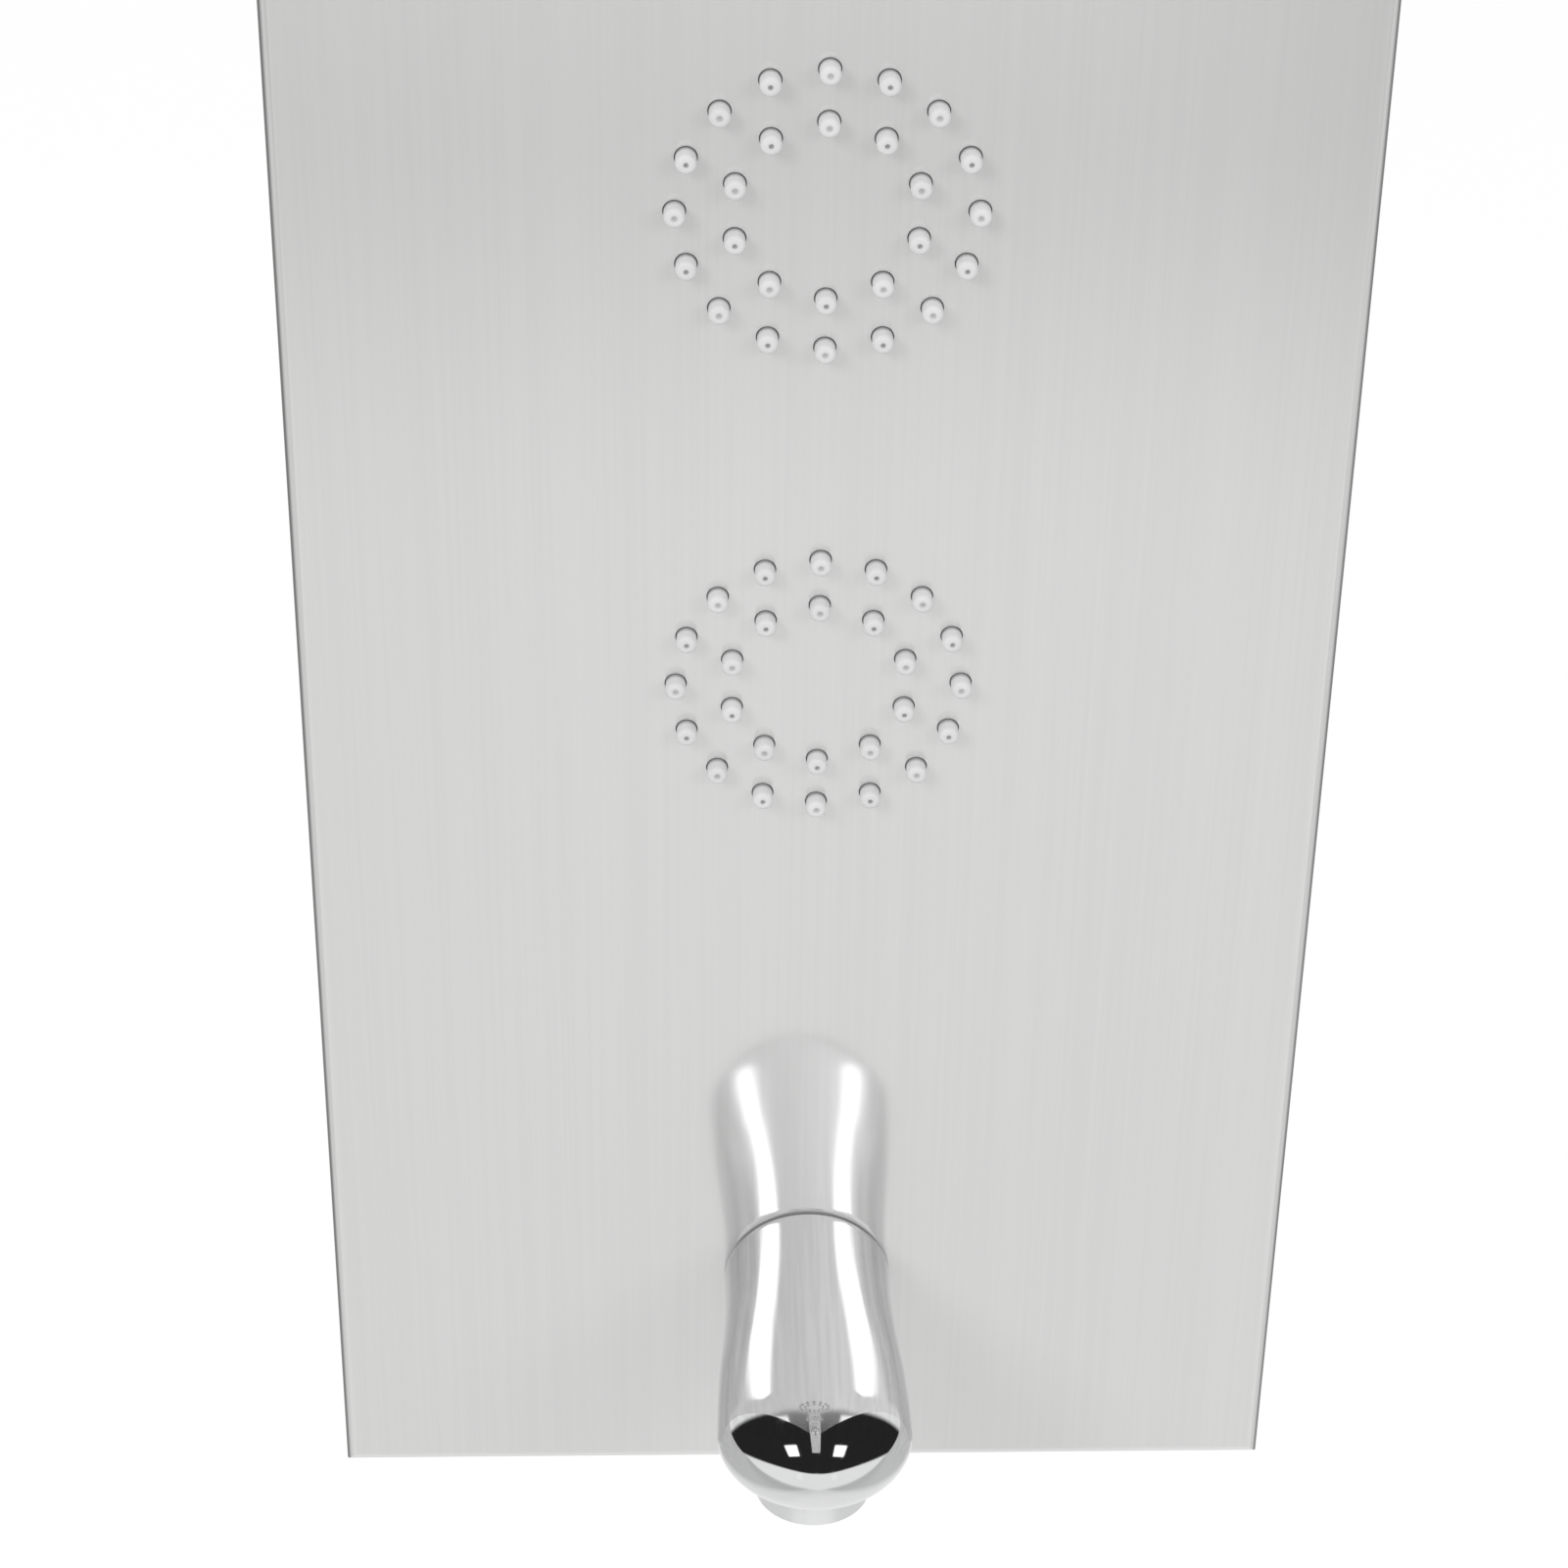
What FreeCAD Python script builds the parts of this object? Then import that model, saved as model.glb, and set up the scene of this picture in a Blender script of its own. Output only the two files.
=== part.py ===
import FreeCAD, Part
import math
import os
from FreeCAD import Placement, Rotation, Vector

# Shower panel column, in millimetres.
#
# World frame: X to the right, Y into the wall, Z up. The wall is the plane Y = 0, and the origin is
# the middle of the four wall screws, at half the column's height. The panel's face looks along -Y.
#
# Everything that stands on a face is drawn in a local frame first: Z out of the face, with the face
# at Z = 0, X to the right and Y up. Metal behind the face has negative Z.

# --- Casing: one folded sheet, open towards the wall -----------------------------------------------
panel_width = 200.0
panel_height = 1300.0
panel_depth = 55.0
sheet = 1.2
fold_radius = 1.8

# --- Heights of what the panel carries, above its bottom edge --------------------------------------
spout_height = 52.2
lower_jet_height = 201.5
jet_spacing = 100.2
mixer_height = 500.0
diverter_height = 640.0

# --- Wall brackets ---------------------------------------------------------------------------------
wall_screw_spacing = 120.0
bracket_inset = 200.0
wall_screw_hole = 6.0
bracket_height = 50.0
bracket_sheet = 2.0
bracket_ear = 28.0
bracket_clearance = 0.3
bracket_fold = 3.0
side_screw_back = 16.8

# --- Spray units: a silicone mat with nozzles through the sheet, and the water chamber behind it ----
jet_outer_nozzles = 16
jet_inner_nozzles = 10
jet_outer_circle = 55.0
jet_inner_circle = 35.0
rain_outer_nozzles = 16
rain_inner_nozzles = 8
rain_outer_circle = 100.0
rain_inner_circle = 55.0
nozzle_diameter = 3.9
nozzle_reach = 3.6
nozzle_clearance = 0.2
nozzle_orifice = 1.0
mat_thickness = 2.0
mat_margin = 5.0
chamber_depth = 14.0
chamber_wall = 2.0
chamber_rim = 3.0
ear_radius = 5.0
ear_thickness = 3.0
ear_gap = 1.5

# --- Screws, studs and nuts ------------------------------------------------------------------------
stud_diameter = 4.0
stud_hole_clearance = 0.2
stud_spare = 1.5
small_nut_flats = 7.0
small_nut_thickness = 3.2
side_screw_diameter = 4.0
side_screw_length = 9.0
side_screw_head = 7.6
side_screw_head_height = 2.2
hood_bolt_diameter = 6.0
hood_bolt_flats = 10.0
hood_bolt_head_height = 4.0
hood_nut_thickness = 5.0
thread_gap = 0.05
# How far a cut runs past the faces that it goes through, and how far a boss is sunk in its root.
over = 1.0

# --- Tubes and the spigots they push onto ----------------------------------------------------------
tube_outer = 14.0
tube_inner = 10.1
spigot_diameter = 10.0
spigot_bore = 7.0
spigot_length = 12.0
tube_plane = 28.0
tube_side = 64.0
tube_bend = 20.0
hood_tube_bend = 30.0
clamp_wall = 1.2
clamp_width = 6.0
tube_lead = 4.0

# --- Bath spout ------------------------------------------------------------------------------------
spout_base_diameter = 35.0
spout_width = 39.4
spout_thickness = 26.8
spout_reach = 73.4
nose_length = 19.4
nose_fullness = 1.7
body_rise = 3.35
tip_rise = 7.0
# Where the body's ovals are drawn: shares of the way to its widest place, then of the nose.
body_stations = (0.2, 0.4, 0.6, 0.8, 0.92, 1.0)
nose_stations = (0.12, 0.3, 0.55, 0.75, 0.89, 0.97)
gasket_thickness = 0.6
gasket_inset = 0.6
aerator_out = 47.0
aerator_drop = 16.2
aerator_diameter = 23.6
aerator_wall = 1.6
aerator_ring_height = 5.2
aerator_neck = 2.0
aerator_neck_wall = 0.4
aerator_lip_step = 0.5
aerator_lip = 1.0
insert_wall = 1.4
insert_plate = 1.2
insert_hole_circle = 12.2
insert_hole = 3.2
insert_middle_hole = 4.8
aerator_slots = 8
spout_channel = 13.0
half_inch_thread = 20.955
shank_bore = 12.0
shank_engagement = 12.0
shank_tail = 36.0
elbow_radius = 8.5
elbow_rise = 14.0
spout_washer_thickness = 2.0
spout_washer_diameter = 32.0
spout_nut_flats = 27.0
spout_nut_thickness = 6.0

# --- Mixer -----------------------------------------------------------------------------------------
# The lever's pivot is the reference for everything in the cartridge.
lever_pivot_out = 18.0
lever_lift = 20.0
mixer_barrel_diameter = 48.0
mixer_barrel_depth = 42.0
mixer_collar_diameter = 41.6
cartridge_diameter = 35.0
cartridge_clearance = 0.2
cartridge_cavity = 27.0
cartridge_neck = 30.6
cartridge_shoulder = 2.0
cartridge_top = 8.0
cartridge_lip = 3.0
turret_neck = 24.4
turret_stand = 9.0
turret_wall = 3.5
running_gap = 0.3
fixed_disc_thickness = 4.5
moving_disc_diameter = 18.0
moving_disc_thickness = 5.5
disc_depth = 9.0
disc_pocket = 6.0
disc_pocket_depth = 4.0
spindle_arm = 10.0
spindle_ball = 5.2
spindle_stem = 4.0
spindle_square = 7.0
spindle_top = 23.0
lever_pin_diameter = 3.0
lever_pin_length = 23.0
pin_fit = 0.05
cartridge_base_thickness = 3.0
port_circle = 17.8
port_diameter = 6.0
port_cross_bore = 5.2
bore_overrun = 0.8
port_seal_width = 1.6
port_seal_height = 1.2
cartridge_nut_depth = 8.0
cartridge_nut_wall = 1.6
cartridge_nut_flats = 36.0
cartridge_nut_head = 3.0
mixer_locknut_diameter = 52.0
mixer_locknut_thickness = 4.0
mixer_outlet_reach = 27.0
locknut_notches = 6
locknut_notch = 4.0
mixer_flange_diameter = 66.0
mixer_flange_height = 6.4
mixer_sleeve_diameter = 45.2
trim_wall = 1.4
# The trim flanges' curves as shares of the flange's height: inwards from the rim, then up.
flange_curve = ((0.0, 0.25), (0.35, 0.62), (0.9, 0.9), (1.3, 1.0))
flange_hollow = (1.1, 0.35, 0.4)
inlet_spacing = 34.0
inlet_boss = 24.0
inlet_drop = 46.0
inlet_thread_length = 14.0
inlet_bore = 13.0
handle_outer = 55.0
handle_wall = 2.5
handle_skirt = 1.0
handle_hub = 17.0
handle_hub_out = 14.0
# Each station of the lever is its distance below the pivot, how far out of the pivot it lies, and
# half the width and half the depth of the bar there.
lever_stations = (
    (12.0, 20.0, (9.0, 5.5)),
    (26.0, 23.0, (7.6, 4.6)),
    (48.0, 26.0, (7.0, 3.8)),
    (70.0, 28.6, (8.6, 3.0)),
    (83.0, 30.0, (10.0, 2.5)),
    (85.0, 30.2, (8.6, 1.4)),
)
grub_diameter = 5.0
grub_length = 5.5
grub_out = 18.5
grub_socket = 2.5
grub_socket_depth = 2.0

# --- Diverter --------------------------------------------------------------------------------------
diverter_barrel_diameter = 40.0
diverter_barrel_depth = 46.0
diverter_collar_diameter = 28.0
diverter_collar_out = 9.0
diverter_boss = 16.0
diverter_boss_reach = 24.0
sleeve_diameter = 23.0
sleeve_cavity = 18.6
sleeve_depth = 38.0
sleeve_floor = 2.0
rotor_diameter = 18.0
rotor_bore = 6.6
diverter_feed = 4.4
diverter_cross = 3.6
diverter_spindle = 9.0
diverter_spindle_out = 28.0
diverter_locknut_diameter = 38.0
diverter_locknut_thickness = 3.5
gland_nut_flats = 32.0
gland_nut_lip = 2.5
gland_nut_gap = 0.5
diverter_flange_diameter = 54.0
diverter_flange_height = 7.0
knob_diameter = 44.0
knob_front_diameter = 37.0
knob_out = 37.0
knob_skirt_gap = 1.6
knob_flutes = 8
knob_flute_radius = 5.0
knob_flute_circle = 45.2
knob_web = 3.0
knob_band = 3.0
knob_taper = 11.0
knob_step = 1.0
knob_edge = 3.0
knob_edge_inset = 2.5
knob_flute_start = 4.0
knob_screw_diameter = 4.0
knob_screw_length = 13.0
knob_screw_head = 7.2
knob_screw_head_height = 2.4
knob_screw_socket = 3.0
knob_screw_socket_depth = 1.6
knob_cap_diameter = 10.0
knob_cap_thickness = 3.0

# --- Overhead hood ---------------------------------------------------------------------------------
head_reach = 400.0
head_height = 30.0
head_lip = 8.0
head_face_clearance = 0.3
hood_bracket_sheet = 3.0
hood_bracket_length = 176.0
hood_bracket_flange = 20.0
hood_bracket_back = 4.0
hood_bolt_x = 75.0
hood_bolt_y = (-14.0, -42.0)
hood_screw_y = (-30.0, -150.0)
hood_screw_rise = 14.0
tube_slot_width = 20.0
tube_slot_front = 50.0
tube_slot_back = 16.0
hood_bracket_slot = 32.0

# --- Places worked out from the sizes above --------------------------------------------------------
bottom = -panel_height / 2
top = panel_height / 2
spout_z = bottom + spout_height
lower_jet_z = bottom + lower_jet_height
upper_jet_z = lower_jet_z + jet_spacing
mixer_z = bottom + mixer_height
diverter_z = bottom + diverter_height
tube_y = tube_plane - panel_depth
head_middle_y = -panel_depth - head_reach / 2
chamber_plane = sheet + mat_thickness + chamber_depth / 2
inside_half = panel_width / 2 - sheet
bracket_spacing = panel_height - 2 * bracket_inset
jet_rings = ((jet_outer_nozzles, jet_outer_circle), (jet_inner_nozzles, jet_inner_circle))
rain_rings = ((rain_outer_nozzles, rain_outer_circle), (rain_inner_nozzles, rain_inner_circle))

tolerance = 0.01
ORIGIN = Vector(0, 0, 0)
RIGHT = Vector(1, 0, 0)
LEFT = Vector(-1, 0, 0)
UP = Vector(0, 0, 1)
DOWN = Vector(0, 0, -1)
BACK = Vector(0, 1, 0)

nodes = {}


# --- Small builders --------------------------------------------------------------------------------
def placed(shape, placement):
    moved = shape.copy()
    moved.Placement = placement.multiply(moved.Placement)
    return moved


def on_front(x, z):
    """The local frame on the panel's face at (x, z)."""
    return Placement(Vector(x, -panel_depth, z), Rotation(RIGHT, 90))


def under_head(x, y):
    """The local frame on the underside of the hood at (x, y): its Y axis points away from the wall."""
    return Placement(Vector(x, y, top), Rotation(RIGHT, 180))


def along(shape, start, direction):
    """A shape drawn upwards from the origin, moved to start and turned to point along direction."""
    return placed(shape, Placement(start, Rotation(UP, direction)))


def rod(radius, low, high, x=0.0, y=0.0):
    return Part.makeCylinder(radius, high - low, Vector(x, y, low))


def ring(outer, inner, low, high, x=0.0, y=0.0):
    return rod(outer, low, high, x, y).cut(rod(inner, low - over, high + over, x, y))


def block(x0, x1, y0, y1, z0, z1):
    return Part.makeBox(x1 - x0, y1 - y0, z1 - z0, Vector(x0, y0, z0))


def turned(*outline):
    """A solid of revolution about Z, from a closed outline of (radius, height) points."""
    points = [Vector(radius, 0, height) for radius, height in outline]
    return Part.Face(Part.makePolygon(points + points[:1])).revolve(ORIGIN, UP, 360)


def prism(sides, across_flats, low, high, x=0.0, y=0.0):
    corner = across_flats / 2 / math.cos(math.pi / sides)
    points = []
    for step in range(sides + 1):
        angle = 2 * math.pi * (step + 0.5) / sides
        points.append(Vector(x + corner * math.cos(angle), y + corner * math.sin(angle), low))
    return Part.Face(Part.makePolygon(points)).extrude(Vector(0, 0, high - low))


def hex_nut(flats, thread, low, high, x=0.0, y=0.0):
    body = prism(6, flats, low, high, x, y)
    return body.cut(rod(thread / 2 + thread_gap, low - over, high + over, x, y))


def circle_points(count, diameter, first_angle):
    points = []
    for step in range(count):
        angle = math.radians(first_angle) + 2 * math.pi * step / count
        points.append((diameter / 2 * math.cos(angle), diameter / 2 * math.sin(angle)))
    return points


def hose(points, bend):
    """A tube along straight runs that tangent arcs join."""
    edges = []
    start = points[0]
    for before, corner, after in zip(points, points[1:], points[2:]):
        into = (corner - before).normalize()
        away = (after - corner).normalize()
        half_turn = into.getAngle(away) / 2
        first = corner - into * (bend * math.tan(half_turn))
        last = corner + away * (bend * math.tan(half_turn))
        inward = (away - into).normalize()
        middle = corner + inward * (bend / math.cos(half_turn) - bend)
        edges.append(Part.LineSegment(start, first).toShape())
        edges.append(Part.Arc(first, middle, last).toShape())
        start = last
    edges.append(Part.LineSegment(start, points[-1]).toShape())
    route = Part.Wire(edges)
    direction = points[1] - points[0]
    walls = []
    for diameter in (tube_outer, tube_inner):
        section = Part.Wire(Part.makeCircle(diameter / 2, points[0], direction))
        walls.append(route.makePipeShell([section], True, False))
    return walls[0].cut(walls[1])


def spigot(start, direction):
    """The plain tail that a tube pushes onto."""
    return along(rod(spigot_diameter / 2, 0, spigot_length), start, direction)


def bore(radius, start, end):
    """A drilling from start to end."""
    direction = end - start
    return along(rod(radius, 0, direction.Length), start, direction)


# --- Spray units -----------------------------------------------------------------------------------
def nozzle_points(rings):
    points = []
    for count, pitch_diameter in rings:
        points += circle_points(count, pitch_diameter, 90)
    return points


def mat_radius(rings):
    return max(pitch_diameter for count, pitch_diameter in rings) / 2 + mat_margin


def stud_points(rings):
    return circle_points(4, 2 * (mat_radius(rings) + ear_gap + ear_radius), 45)


def nozzle_holes(rings):
    radius = nozzle_diameter / 2 + nozzle_clearance
    return [rod(radius, -2 * sheet, sheet, x, y) for x, y in nozzle_points(rings)]


def nozzle_mat(rings):
    """The silicone mat: a disc behind the sheet, with nozzles that stand through it.

    The orifices are six-sided, which keeps the many small holes light.
    """
    back = -sheet - mat_thickness
    mat = rod(mat_radius(rings), back, -sheet)
    nozzles = []
    orifices = []
    for x, y in nozzle_points(rings):
        nozzles.append(rod(nozzle_diameter / 2, back + mat_thickness / 2, nozzle_reach, x, y))
        orifices.append(prism(6, nozzle_orifice, back - over, nozzle_reach + over, x, y))
    return mat.multiFuse(nozzles).cut(orifices)


def water_chamber(rings, spigot_sides):
    """The moulded cup behind a mat, with four ears for studs and one or two hose tails."""
    rim = -sheet - mat_thickness
    floor = rim - chamber_depth
    radius = mat_radius(rings)
    cavity = radius - chamber_rim
    cup = rod(radius, floor, rim)
    solids = []
    for x, y in stud_points(rings):
        solids.append(rod(ear_radius, rim - ear_thickness, -sheet, x, y))
        web = block(0, math.hypot(x, y), -ear_radius, ear_radius, rim - ear_thickness, rim)
        turn = Rotation(UP, math.degrees(math.atan2(y, x)))
        solids.append(placed(web, Placement(ORIGIN, turn)))
    cuts = [rod(cavity, floor + chamber_wall, rim + over)]
    for side in spigot_sides:
        start = Vector(0, side * (radius - over), -chamber_plane)
        outwards = Vector(0, side, 0)
        stem = rod(spigot_diameter / 2, 0, spigot_length + over)
        solids.append(along(stem, start, outwards))
        inner = Vector(0, side * (cavity - 2 * over), -chamber_plane)
        outer = Vector(0, side * (radius + spigot_length + over), -chamber_plane)
        cuts.append(bore(spigot_bore / 2, inner, outer))
    for x, y in stud_points(rings):
        hole = stud_diameter / 2 + stud_hole_clearance
        cuts.append(rod(hole, rim - ear_thickness - over, -sheet + over, x, y))
    return cup.multiFuse(solids).cut(cuts)


def studs(rings):
    nut_face = -sheet - mat_thickness - ear_thickness
    low = nut_face - small_nut_thickness - stud_spare
    return [rod(stud_diameter / 2, low, -sheet, x, y) for x, y in stud_points(rings)]


def stud_nuts(rings):
    high = -sheet - mat_thickness - ear_thickness
    low = high - small_nut_thickness
    return [hex_nut(small_nut_flats, stud_diameter, low, high, x, y) for x, y in stud_points(rings)]


def body_jets():
    lower = on_front(0, lower_jet_z)
    upper = on_front(0, upper_jet_z)
    nodes["jet_mat_lower"] = placed(nozzle_mat(jet_rings), lower)
    nodes["jet_mat_upper"] = placed(nozzle_mat(jet_rings), upper)
    nodes["jet_chamber_lower"] = placed(water_chamber(jet_rings, (1,)), lower)
    nodes["jet_chamber_upper"] = placed(water_chamber(jet_rings, (1, -1)), upper)
    all_studs = []
    all_nuts = []
    for seat in (lower, upper):
        all_studs += [placed(stud, seat) for stud in studs(jet_rings)]
        all_nuts += [placed(nut, seat) for nut in stud_nuts(jet_rings)]
    nodes["jet_studs"] = Part.makeCompound(all_studs)
    nodes["jet_nuts"] = Part.makeCompound(all_nuts)


# --- Casing and wall brackets ----------------------------------------------------------------------
def bracket_heights():
    return (-bracket_spacing / 2, bracket_spacing / 2)


def side_screw_seats():
    """Each side screw's place on the casing's outside and the way it points."""
    seats = []
    for z in bracket_heights():
        for side in (-1, 1):
            place = Vector(side * panel_width / 2, -side_screw_back, z)
            seats.append((place, Vector(-side, 0, 0)))
    return seats


def pan_screw(start, direction):
    """A pan-head screw whose head sits at start, outside, and whose thread runs along direction."""
    edge = side_screw_head_height / 2
    head = side_screw_head / 2
    shank = side_screw_diameter / 2
    screw = turned(
        (0, -2 * edge), (head - edge, -2 * edge), (head, -edge), (head, 0), (shank, 0),
        (shank, side_screw_length), (0, side_screw_length),
    )
    return along(screw, start, direction)


def side_hole(start, direction, clearance, depth):
    radius = side_screw_diameter / 2 + clearance
    return along(rod(radius, -over, depth), start, direction)


def panel_casing():
    half = panel_width / 2
    body = block(-half, half, -panel_depth, 0, bottom, top)
    front_edges = [edge for edge in body.Edges if edge.BoundBox.YMax < -panel_depth + tolerance]
    body = body.makeFillet(fold_radius, front_edges)
    front = -panel_depth + sheet
    hollow = block(-inside_half, inside_half, front, over, bottom + sheet, top - sheet)
    inner_edges = [edge for edge in hollow.Edges if edge.BoundBox.YMax < front + tolerance]
    hollow = hollow.makeFillet(fold_radius - sheet, inner_edges)
    cuts = [hollow]
    for z in (lower_jet_z, upper_jet_z):
        cuts += [placed(hole, on_front(0, z)) for hole in nozzle_holes(jet_rings)]
    openings = (
        (half_inch_thread / 2 + stud_hole_clearance, spout_z),
        (mixer_collar_diameter / 2 + stud_hole_clearance, mixer_z),
        (diverter_collar_diameter / 2 + stud_hole_clearance, diverter_z),
    )
    for radius, z in openings:
        cuts.append(placed(rod(radius, -2 * sheet, sheet), on_front(0, z)))
    for start, direction in side_screw_seats():
        cuts.append(side_hole(start, direction, stud_hole_clearance, 2 * sheet))
    cuts += hood_bolt_holes(top - 2 * sheet, top + over)
    cuts.append(tube_slot(top - 2 * sheet, top + over))
    nodes["panel_casing"] = body.cut(cuts)


def upright_edges(shape):
    return [edge for edge in shape.Edges if edge.BoundBox.ZLength > tolerance]


def wall_brackets():
    half = inside_half - bracket_clearance
    low = -bracket_height / 2
    high = bracket_height / 2
    channel = block(-half, half, -bracket_ear, 0, low, high)
    inner = half - bracket_sheet
    hollow = block(-inner, inner, -bracket_ear - over, -bracket_sheet, low - over, high + over)
    back_edges = [edge for edge in upright_edges(channel) if edge.BoundBox.YMin > -tolerance]
    channel = channel.makeFillet(bracket_fold, back_edges).cut(hollow)
    for name, z in zip(("wall_bracket_lower", "wall_bracket_upper"), bracket_heights()):
        bracket = placed(channel, Placement(Vector(0, 0, z), Rotation()))
        cuts = []
        for side in (-1, 1):
            start = Vector(side * wall_screw_spacing / 2, -bracket_sheet - over, z)
            cuts.append(along(rod(wall_screw_hole / 2, 0, bracket_sheet + 2 * over), start, BACK))
        for start, direction in side_screw_seats():
            if abs(start.z - z) < tolerance:
                cuts.append(side_hole(start, direction, thread_gap, side_screw_length + over))
        nodes[name] = bracket.cut(cuts)
    nodes["side_screws"] = Part.makeCompound([pan_screw(*seat) for seat in side_screw_seats()])


# --- Bath spout ------------------------------------------------------------------------------------
def spout_section(out):
    """Half width, half height and centre height of the spout's oval at a distance out of the panel."""
    equator = spout_reach - nose_length
    base = spout_base_diameter / 2
    if out <= equator:
        share = max(out, 0) / equator
        ease = share * share * (3 - 2 * share)
        half_width = base + (spout_width / 2 - base) * ease
        return half_width, base + (spout_thickness / 2 - base) * ease, body_rise * ease
    share = (out - equator) / nose_length
    full = (1 - share**nose_fullness) ** (1 / nose_fullness)
    centre = body_rise + (tip_rise - body_rise) * (1 - full)
    return spout_width / 2 * full, spout_thickness / 2 * full, centre


def oval(half_width, half_height, centre, out):
    return Part.Wire(Part.Ellipse(Vector(0, centre, out), half_width, half_height).toShape())


def spout_outside():
    """The polished body: a round base that widens and flattens into a rounded nose."""
    equator = spout_reach - nose_length
    stations = [gasket_thickness]
    stations += [equator * share for share in body_stations]
    stations += [equator + nose_length * share for share in nose_stations]
    wires = []
    for out in stations:
        half_width, half_height, centre = spout_section(out)
        wires.append(oval(half_width, half_height, centre, out))
    tip = Part.Vertex(Vector(0, tip_rise, spout_reach))
    return Part.makeLoft(wires + [tip], True, False)


def below_spout(shape, drop):
    """A shape drawn upwards from the origin, moved below the aerator's seat and turned upwards."""
    return along(shape, Vector(0, -drop, aerator_out), Vector(0, 1, 0))


def bath_spout():
    seat = on_front(0, spout_z)
    ring_top = aerator_drop - aerator_ring_height
    radius = aerator_diameter / 2
    thread = radius - aerator_wall
    neck = below_spout(rod(radius + aerator_neck_wall, 0, ring_top), ring_top)
    channel = rod(spout_channel / 2, 0, aerator_out)
    drop = below_spout(rod(spout_channel / 2, 0, ring_top + over), ring_top + over)
    socket = rod(half_inch_thread / 2 + thread_gap, 0, gasket_thickness + shank_engagement)
    seal_seat = below_spout(rod(thread, 0, aerator_neck), ring_top)
    ring_cut = rod(radius + thread_gap, 0, aerator_ring_height + over)
    ring_seat = below_spout(ring_cut, aerator_drop + over)
    body = spout_outside().fuse(neck.common(spout_core(ring_top)))
    nodes["spout_body"] = placed(body.cut([channel, drop, socket, seal_seat, ring_seat]), seat)

    gasket_radius = spout_base_diameter / 2 - gasket_inset
    gasket = ring(gasket_radius, half_inch_thread / 2 + thread_gap, 0, gasket_thickness)
    nodes["spout_gasket"] = placed(gasket, seat)

    nodes["spout_shank"] = placed(spout_shank(), seat)
    washer_low = -sheet - spout_washer_thickness
    washer = ring(spout_washer_diameter / 2, half_inch_thread / 2 + thread_gap, washer_low, -sheet)
    nodes["spout_washer"] = placed(washer, seat)
    nut = hex_nut(spout_nut_flats, half_inch_thread, washer_low - spout_nut_thickness, washer_low)
    nodes["spout_locknut"] = placed(nut, seat)

    shell = ring(radius, thread, 0, aerator_ring_height)
    lip = ring(radius - aerator_lip_step, thread - aerator_lip, 0, aerator_wall)
    nodes["aerator_ring"] = placed(below_spout(shell.fuse(lip), aerator_drop), seat)
    nodes["aerator_insert"] = placed(below_spout(aerator_insert(thread), aerator_drop), seat)
    seal = ring(thread - thread_gap, spout_channel / 2, 0, aerator_neck)
    nodes["aerator_seal"] = placed(below_spout(seal, ring_top), seat)


def spout_core(ring_top):
    """The part of the neck that lies below the spout's middle, so that it never breaks the top."""
    return block(-spout_width, spout_width, -ring_top, 0, 0, spout_reach)


def spout_shank():
    """The threaded brass tail through the sheet, with a hose tail on its elbow."""
    thread = rod(half_inch_thread / 2, -shank_tail, gasket_thickness + shank_engagement)
    corner = Vector(0, -elbow_radius, -tube_plane)
    block_up = along(rod(elbow_radius, 0, elbow_radius + elbow_rise), corner, Vector(0, 1, 0))
    root = Vector(0, elbow_rise, -tube_plane)
    tail = spigot(root, Vector(0, 1, 0))
    middle = Vector(0, 0, -tube_plane)
    tail_end = Vector(0, elbow_rise + spigot_length + over, -tube_plane)
    bores = [
        rod(shank_bore / 2, -tube_plane, gasket_thickness + shank_engagement + over),
        bore(spigot_bore / 2, middle, tail_end),
    ]
    return thread.multiFuse([block_up, tail]).cut(bores)


def aerator_insert(radius):
    """The moulded flow straightener: a cup with holes round its grid plate."""
    low = aerator_wall
    plate_top = low + insert_plate
    wall = ring(radius - thread_gap, radius - insert_wall, low, aerator_ring_height)
    cup = wall.fuse(rod(radius - insert_wall / 2, low, plate_top))
    holes = [rod(insert_middle_hole / 2, low - over, plate_top + over)]
    for x, y in circle_points(aerator_slots, insert_hole_circle, 0):
        holes.append(rod(insert_hole / 2, low - over, plate_top + over, x, y))
    return cup.cut(holes)


# --- Mixer -----------------------------------------------------------------------------------------
def cartridge_levels():
    """Heights of the cartridge's faces, out of the panel."""
    pivot = lever_pivot_out
    disc_top = pivot - disc_depth
    disc_face = disc_top - moving_disc_thickness
    base_top = disc_face - fixed_disc_thickness
    seat = base_top - cartridge_base_thickness
    return pivot, disc_top, disc_face, base_top, seat


def port_points():
    return circle_points(3, port_circle, 90)


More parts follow.
